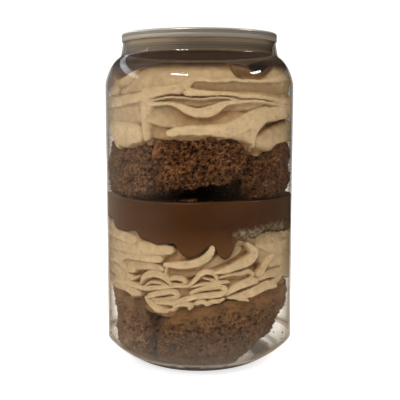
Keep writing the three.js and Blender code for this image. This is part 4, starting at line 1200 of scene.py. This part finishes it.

# %% [markdown]
# The crumb is a dark red brown. Its colour follows the relief: a painted highlight on the raised grains, and
# painted shade, nearly black, in the pores. A bump from cell noise adds grains that are too small for the
# mesh. The two left chunks get paler, bluer kinds, which paint in the haze that the pale wall at the left
# lays on the plastic, and the bottom cake, whose baked skin shows, is lighter than the upper cake.

# %% Crumb material
def crumb_material(name, dark, mid, light, crust):
    """Colour by the height of the relief and by fine grain: painted shade in the pits, faces middling, a
    painted highlight on the tips.
    """
    material, nodes, shader, place = new_material(name)
    grain = nodes.noise(place, 1800.0, 3.0, 0.75)
    raised = nodes.maths("MULTIPLY_ADD", grain, 3.4, nodes.attribute("relief"))
    # Painted shade in the pits and a painted highlight on the raised tips.
    colours = nodes.ramp(nodes.maths("MULTIPLY", raised, 0.278), (0.42, *dark), (0.63, *mid), (0.87, *light))
    baked = nodes.maths("MULTIPLY", nodes.attribute("crust"), 0.75)
    crusted = nodes.blend(baked, colours, (*crust, 1))
    shade = nodes.remap(nodes.noise(place, 170.0, 3.0), 0.3, 0.7, 0.68, 1.3)
    heights = nodes.maths("ADD", nodes.add("TexVoronoi", Vector=place, Scale=1500.0), grain)
    nodes.paint(shader, {
        "Base Color": nodes.add("VectorMath", crusted, operation="SCALE", Scale=shade),
        "Roughness": 0.8,
        "Specular IOR Level": 0.25,
        "Normal": nodes.add("Bump", Strength=0.8, Distance=0.0003, Height=heights)})
    return material


crumb = crumb_material("cake_crumb", (0.014, 0.0036, 0.0006), (0.086, 0.0280, 0.0060), (0.290, 0.130, 0.048),
                       (0.13, 0.058, 0.021))
# Painted reflection: the two left chunks get paler, bluer crumb for the haze that the pale wall lays on the
# plastic.
crumb_painted_haze = crumb_material("cake_crumb_painted_haze", (0.030, 0.0125, 0.0060), (0.115, 0.052, 0.0240),
                               (0.290, 0.160, 0.085), (0.20, 0.11, 0.055))
baked_crumb = crumb_material("baked_cake_crumb", (0.042, 0.0170, 0.0066), (0.155, 0.070, 0.0280),
                             (0.300, 0.160, 0.076), (0.225, 0.106, 0.036))
baked_crumb_painted_haze = crumb_material("baked_cake_crumb_painted_haze", (0.070, 0.033, 0.0165), (0.205, 0.105, 0.0520),
                                  (0.350, 0.210, 0.125), (0.25, 0.135, 0.062))
print("kinds of crumb:", [m.name for m in (crumb, crumb_painted_haze, baked_crumb, baked_crumb_painted_haze)])

# %% [markdown]
# The upper cake was torn in three. The tears run from a hub to the wall, and the middle chunk has lifted,
# which leaves a dark gap over the ganache.

# %% Upper chunks
UPPER_HUB = np.array([0.0, 2.0])


def tear_cut(angle, side, half_width):
    """
    The cut along the line from the hub to the wall: the angle that it faces, and its distance from the axis
    less half the tear's width. A width below 0 lets the two chunks overlap, so that no light shows between
    them.
    """
    out = BODY_RADIUS * facing(math.radians(angle)) - UPPER_HUB
    run = out / np.linalg.norm(out)
    normal = np.array([-run[1] * side, run[0] * side])
    return float(angle_of(*normal)), float(normal @ UPPER_HUB) - half_width


def on_ganache(x, y):
    """Just above the ganache, a little wavy."""
    return GANACHE_TOP + 0.1 + 0.3 * np.sin(0.5 * x + 0.4 * y)


def under_cream(x, y):
    """A hair below the cream that lies on the cake."""
    return upper_cake_top(x, y) - 0.1


def lifted_underside(x, y):
    """Underside of the middle chunk: 5 mm over the ganache, and rising a little to the right."""
    return 64.2 + 0.12 * x + 0.4 * np.sin(0.6 * x) + 0 * y


TEAR_LEFT, TEAR_RIGHT, TEAR_BACK = -29, 31.5, 180
main = cake_chunk(
    "upper_cake_middle_chunk", (0.0, -16.0), lifted_underside, under_cream, seed=1.3, inset=0.3,
    cuts=[tear_cut(TEAR_LEFT, -1, -1.6), tear_cut(TEAR_RIGHT, 1, -0.4)], columns=500, rows=76, rings=36)
dress(main, crumb, "cake_crumb", "upper_cake_main")
left = cake_chunk(
    "upper_cake_left_chunk", (-16.0, 6.0), on_ganache, under_cream, seed=4.1, inset=0.15,
    cuts=[tear_cut(TEAR_LEFT, 1, -1.6), tear_cut(TEAR_BACK, -1, -2.5)], columns=480, rows=84, rings=30)
dress(left, crumb_painted_haze, "cake_crumb", "upper_cake_left")
right = cake_chunk(
    "upper_cake_right_chunk", (16.0, 6.0), on_ganache, under_cream, seed=7.7, inset=0.15,
    cuts=[tear_cut(TEAR_RIGHT, -1, -0.4), tear_cut(TEAR_BACK, 1, -2.5)], columns=480, rows=84, rings=30)
dress(right, crumb, "cake_crumb", "upper_cake_right")
for chunk in (main, left, right):
    print(f"{chunk.name}: {chunk.dimensions.z / MM:.1f} mm high")

# %% [markdown]
# The bottom cake is in two chunks. On the right the main one is torn away underneath, so the clear heel is
# empty there. The tear between the two gapes at its top only.

# %% Bottom chunks
def under_lower_cream(x, y):
    """A hair below the ruffled cream."""
    return bottom_cake_top(x, y) - 0.1


def cake_floor(x, y):
    """Just above the plastic: over the raised dish in the middle, and down to the ring round it."""
    part = np.clip(np.hypot(x, y) / (STAND_RADIUS - STAND_WIDTH), 0, 1)
    return 0.25 + BASE_WALL + BASE_DOME * np.cos(part * math.pi / 2) ** 0.8


def baked_crust(points):
    """1 on the smooth baked skin at the top edge of the bottom cake, falling to 0 below it."""
    below = bottom_cake_top(points[..., 0], points[..., 1]) - points[..., 2]
    return 1 - smoothstep(below + 0.9 * smooth_noise(points, 3.0, 88), 3.4, 6.2)


def right_tuck(direction, height):
    """A bell round the right side, deepest at the floor and gone at 25 mm."""
    away = half_turns(direction - math.pi * 0.4)
    return 14 * np.exp(-((away / 0.8) ** 2)) * (1 - smoothstep(height, 1, 25))


def main_tuck(direction, height):
    """The right side's bell, and the corner at the tear worn away above 20 mm, where the tear gapes."""
    corner = np.exp(-(half_turns(direction + 0.80) / 0.20) ** 4)
    return right_tuck(direction, height) + 3.4 * corner * smoothstep(height, 17.5, 21.0)


def left_tuck(direction, height):
    """A smaller bell round the far left side; the tear gapes at its top, and the chunks touch below."""
    away = half_turns(direction + math.pi * 0.43)
    wedge = 7.5 * np.exp(-((away / 0.6) ** 2)) * (1 - smoothstep(height, 6, 32))
    tear = half_turns(direction - math.radians(24))
    return wedge + np.exp(-((tear / 0.6) ** 4)) * (4.6 * smoothstep(height, 17.5, 21.5) - 1.9)


bottom_left = cake_chunk(
    "bottom_cake_left_chunk", (-19.0, 2.0), cake_floor, under_lower_cream, seed=2.9, inset=0.25,
    cuts=[(72, -7.0)], tuck=left_tuck, crust=baked_crust, roundness=0.02, columns=440, rows=96, rings=24)
dress(bottom_left, baked_crumb_painted_haze, "cake_crumb", "bottom_cake_left")
bottom_main = cake_chunk(
    "bottom_cake_main_chunk", (9.0, -4.0), cake_floor, under_lower_cream, seed=5.5, inset=0.1,
    cuts=[(-108, 7.4)], tuck=main_tuck, crust=baked_crust, roundness=0.02, columns=520, rows=100, rings=28)
dress(bottom_main, baked_crumb, "cake_crumb", "bottom_cake_main")
for chunk in (bottom_left, bottom_main):
    print(f"{chunk.name}: {chunk.dimensions.z / MM:.1f} mm high")

# %% [markdown]
# Crumbs fall off wherever cake is torn. They are all one mesh: a rough ball with twenty faces, repeated at
# each place with its own size and its own lumps. Some lie on the ganache in front of the gap, and some cling
# to the plastic low down.

# %% Loose crumbs
def ball_corners():
    """The twelve corners of an icosahedron: (0, 1, golden ratio) in all its turns and signs."""
    golden = (1 + math.sqrt(5)) / 2
    corners = [(-1, golden, 0), (1, golden, 0), (-1, -golden, 0), (1, -golden, 0),
               (0, -1, golden), (0, 1, golden), (0, -1, -golden), (0, 1, -golden),
               (golden, 0, -1), (golden, 0, 1), (-golden, 0, -1), (-golden, 0, 1)]
    return np.array(corners) / math.hypot(1, golden)


BALL_FACES = np.array([
    (0, 11, 5), (0, 5, 1), (0, 1, 7), (0, 7, 10), (0, 10, 11), (1, 5, 9), (5, 11, 4), (11, 10, 2), (10, 7, 6),
    (7, 1, 8), (3, 9, 4), (3, 4, 2), (3, 2, 6), (3, 6, 8), (3, 8, 9), (4, 9, 5), (2, 4, 11), (6, 2, 10),
    (8, 6, 7), (9, 8, 1)])
dice = np.random.default_rng(41)
GAP_CRUMBS = 16               # the first ones are larger, and lie in front of the gap
spots = []
on_top = ((-14, -2, 1.5, 6.5, 0.45, GAP_CRUMBS), (-60, 60, 0.8, 5.0, 0.35, 30))
for first, last, near, far, lift, count in on_top:
    for angle, back in zip(dice.uniform(first, last, count), dice.uniform(near, far, count)):
        spots.append((angle, INSIDE - back, GANACHE_TOP + lift))
for first, last, low, high, count in ((38, 70, 4.5, 14.0, 14), (-82, -52, 6.0, 20.0, 16)):
    for angle, height in zip(dice.uniform(first, last, count), dice.uniform(low, high, count)):
        spots.append((angle, float(inner_reach(height)) - 0.3, height))
spots = np.array(spots)
crumb_sizes = np.where(np.arange(len(spots)) < GAP_CRUMBS, dice.uniform(0.35, 0.95, len(spots)),
                       dice.uniform(0.12, 0.34, len(spots)))
places = around(np.radians(spots[:, 0]), spots[:, 1], spots[:, 2])
lumpy = ball_corners()[None] * (1 + 0.35 * dice.uniform(-1, 1, (len(spots), 12, 1)))
crumb_points = places[:, None] + lumpy * crumb_sizes[:, None, None] * np.array([1, 1, 0.75])
crumb_faces = BALL_FACES[None] + 12 * np.arange(len(spots))[:, None, None]
no_quads = np.zeros((0, 4), int)
crumbs = make_object("loose_crumbs", crumb_points.reshape(-1, 3), no_quads, crumb_faces.reshape(-1, 3),
                     {"relief": dice.uniform(0.2, 0.95, len(spots) * 12)})
crumbs.data.materials.append(crumb)
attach(crumbs, "root")
print(f"{len(spots)} crumbs, {crumb_sizes.min():.2f} to {crumb_sizes.max():.2f} mm in radius")

# %% [markdown]
# ## Floor and light
# The floor and the surround are plain and pale. Reflections see a darker surround than the camera does, as
# when black cards stand round a bottle in a studio, so that the dark ganache keeps its depth behind the
# clear wall.

# %% Floor
SIDE_REFLECTION = 0.03
TABLE_REFLECTION, TABLE_START, TABLE_END = 0.6, 0.07, 0.32
PALE_WALL_REFLECTION = 0.55
FAR_WALL_REFLECTION = 0.2
PALE_WALL_AZIMUTH = -100
PALE_WALL_START = 0.05


def pale_wall(nodes, direction):
    """How far a direction points to the pale wall at the left, and how pale the reflections are there."""
    turn = math.radians(PALE_WALL_AZIMUTH)
    wall = (math.sin(turn), -math.cos(turn), 0)
    share = nodes.add("VectorMath", direction, wall, operation="DOT_PRODUCT").outputs["Value"]
    return share, nodes.remap(share, PALE_WALL_START, 1.0, 0.0, PALE_WALL_REFLECTION, "SMOOTHSTEP")


def stage_material():
    """
    A pale floor for the eye. In the can's reflections it is nearly black, but for the table close round the
    can and the way towards the pale wall, which put a faint haze on the plastic.
    """
    material, nodes, shader, place = new_material("pale_floor")
    nodes.paint(shader, {"Base Color": (0.86, 0.86, 0.85, 1), "Roughness": 0.9, "Specular IOR Level": 0.0})
    distance = nodes.add("VectorMath", place, operation="LENGTH").outputs["Value"]
    near = nodes.remap(distance, TABLE_END, TABLE_START, SIDE_REFLECTION, TABLE_REFLECTION, "SMOOTHSTEP")
    share, pale = pale_wall(nodes, nodes.add("VectorMath", place, operation="NORMALIZE"))
    far = nodes.remap(share, -0.05, -1.0, 0.0, FAR_WALL_REFLECTION, "SMOOTHSTEP")
    reflected = nodes.maths("MAXIMUM", near, nodes.maths("ADD", pale, far))
    dull = nodes.add("Emission", Color=(1.0, 0.76, 0.55, 1), Strength=reflected)
    bright = nodes.add("AddShader", shader, nodes.add("Emission", Strength=0.75))
    path = nodes.add("LightPath").outputs
    lit = nodes.add("MixShader", path["Is Camera Ray"], shader, bright)
    surface = nodes.add("MixShader", path["Is Glossy Ray"], lit, dull)
    nodes.paint(nodes.tree.nodes["Material Output"], {"Surface": surface})
    return material


FLOOR_HALF = 3000.0
floor_corners = np.array([(-1, -1, 0), (1, -1, 0), (1, 1, 0), (-1, 1, 0)], float) * FLOOR_HALF
floor = make_object("floor", floor_corners, np.array([[0, 1, 2, 3]]))
floor.data.materials.append(stage_material())
print(f"floor {2 * FLOOR_HALF * MM:.0f} m wide")

# %% [markdown]
# The world is the white room. The camera sees it white, the food is lit by it more softly, and the
# reflections see it nearly black at the sides and grey overhead. Towards the left it is paler, as from a
# light wall, which lays a soft haze on that side of the can.

# %% World
SEEN_SURROUND = 1.05
DIFFUSE_SURROUND = 0.36
CEILING_REFLECTION = 0.34


def studio_world():
    """White for the camera, softer as a light, dim at the sides and brighter overhead in reflections."""
    world = bpy.data.worlds.new("studio")
    world.use_nodes = True
    nodes = Nodes(world.node_tree)
    direction = nodes.add("TexCoord").outputs["Generated"]
    upwards = nodes.add("SeparateXYZ", direction).outputs["Z"]
    overhead = nodes.remap(upwards, 0.15, 0.85, SIDE_REFLECTION, CEILING_REFLECTION, "SMOOTHSTEP")
    _, pale = pale_wall(nodes, direction)
    path = nodes.add("LightPath").outputs
    reflected = nodes.maths("ADD", overhead, pale)
    strength = nodes.blend(path["Is Glossy Ray"], DIFFUSE_SURROUND, reflected, "FLOAT")
    strength = nodes.blend(path["Is Camera Ray"], strength, SEEN_SURROUND, "FLOAT")
    nodes.paint(nodes.tree.nodes["Background"], {"Color": (1.0, 0.985, 0.96, 1), "Strength": strength})
    bpy.context.scene.world = world


studio_world()
print(f"surround: {DIFFUSE_SURROUND} as a light, {SIDE_REFLECTION} to {CEILING_REFLECTION} in reflections")

# %% [markdown]
# Two long ceiling lamps and a window stand in the reflections: they draw the short white lines on shoulder
# and neck, and the pale patch at the shoulder's left. A curved wall shows a light at half the light's own
# angle, so each lamp's place was worked out from where its line should lie. The two large soft lights do
# the lighting itself, and are kept out of the reflections.

# %% Lights
LIGHT_TARGET = np.array([0, 0, 0.09])
WARM, SOFT_WHITE, SKY = (1.0, 0.97, 0.92), (1.0, 0.98, 0.95), (0.80, 0.88, 1.0)


def area_light(name, azimuth, elevation, distance, width, height, radiance, colour):
    """
    A rectangle of light that looks at the can's middle. Its power is its radiance times pi times its area,
    which is how Blender counts it.
    """
    data = bpy.data.lights.new(name, "AREA")
    data.shape = "RECTANGLE"
    data.size, data.size_y = width, height
    data.energy = radiance * math.pi * width * height
    data.color = colour
    light = bpy.data.objects.new(name, data)
    turn, rise = math.radians(azimuth), math.radians(elevation)
    away = around(turn, math.cos(rise), math.sin(rise)) * distance
    light.location = LIGHT_TARGET + away
    light.rotation_euler = Vector(-away).to_track_quat("-Z", "Y").to_euler()
    bpy.context.scene.collection.objects.link(light)
    return light


area_light("ceiling_left", -26, 34, 1.4, 0.46, 0.09, 36, WARM)
area_light("ceiling_right", 80, 32, 1.4, 0.40, 0.08, 24, WARM)
area_light("window", -122, 28, 1.2, 1.8, 0.13, 4, SKY)
soft_ceiling = area_light("soft_ceiling", -4, 60, 1.3, 0.8, 0.6, 6.2, SOFT_WHITE)
soft_back = area_light("soft_back", 160, 55, 1.3, 0.9, 0.7, 3.0, SOFT_WHITE)
for light in (soft_ceiling, soft_back):
    light.visible_glossy = False

# %% [markdown]
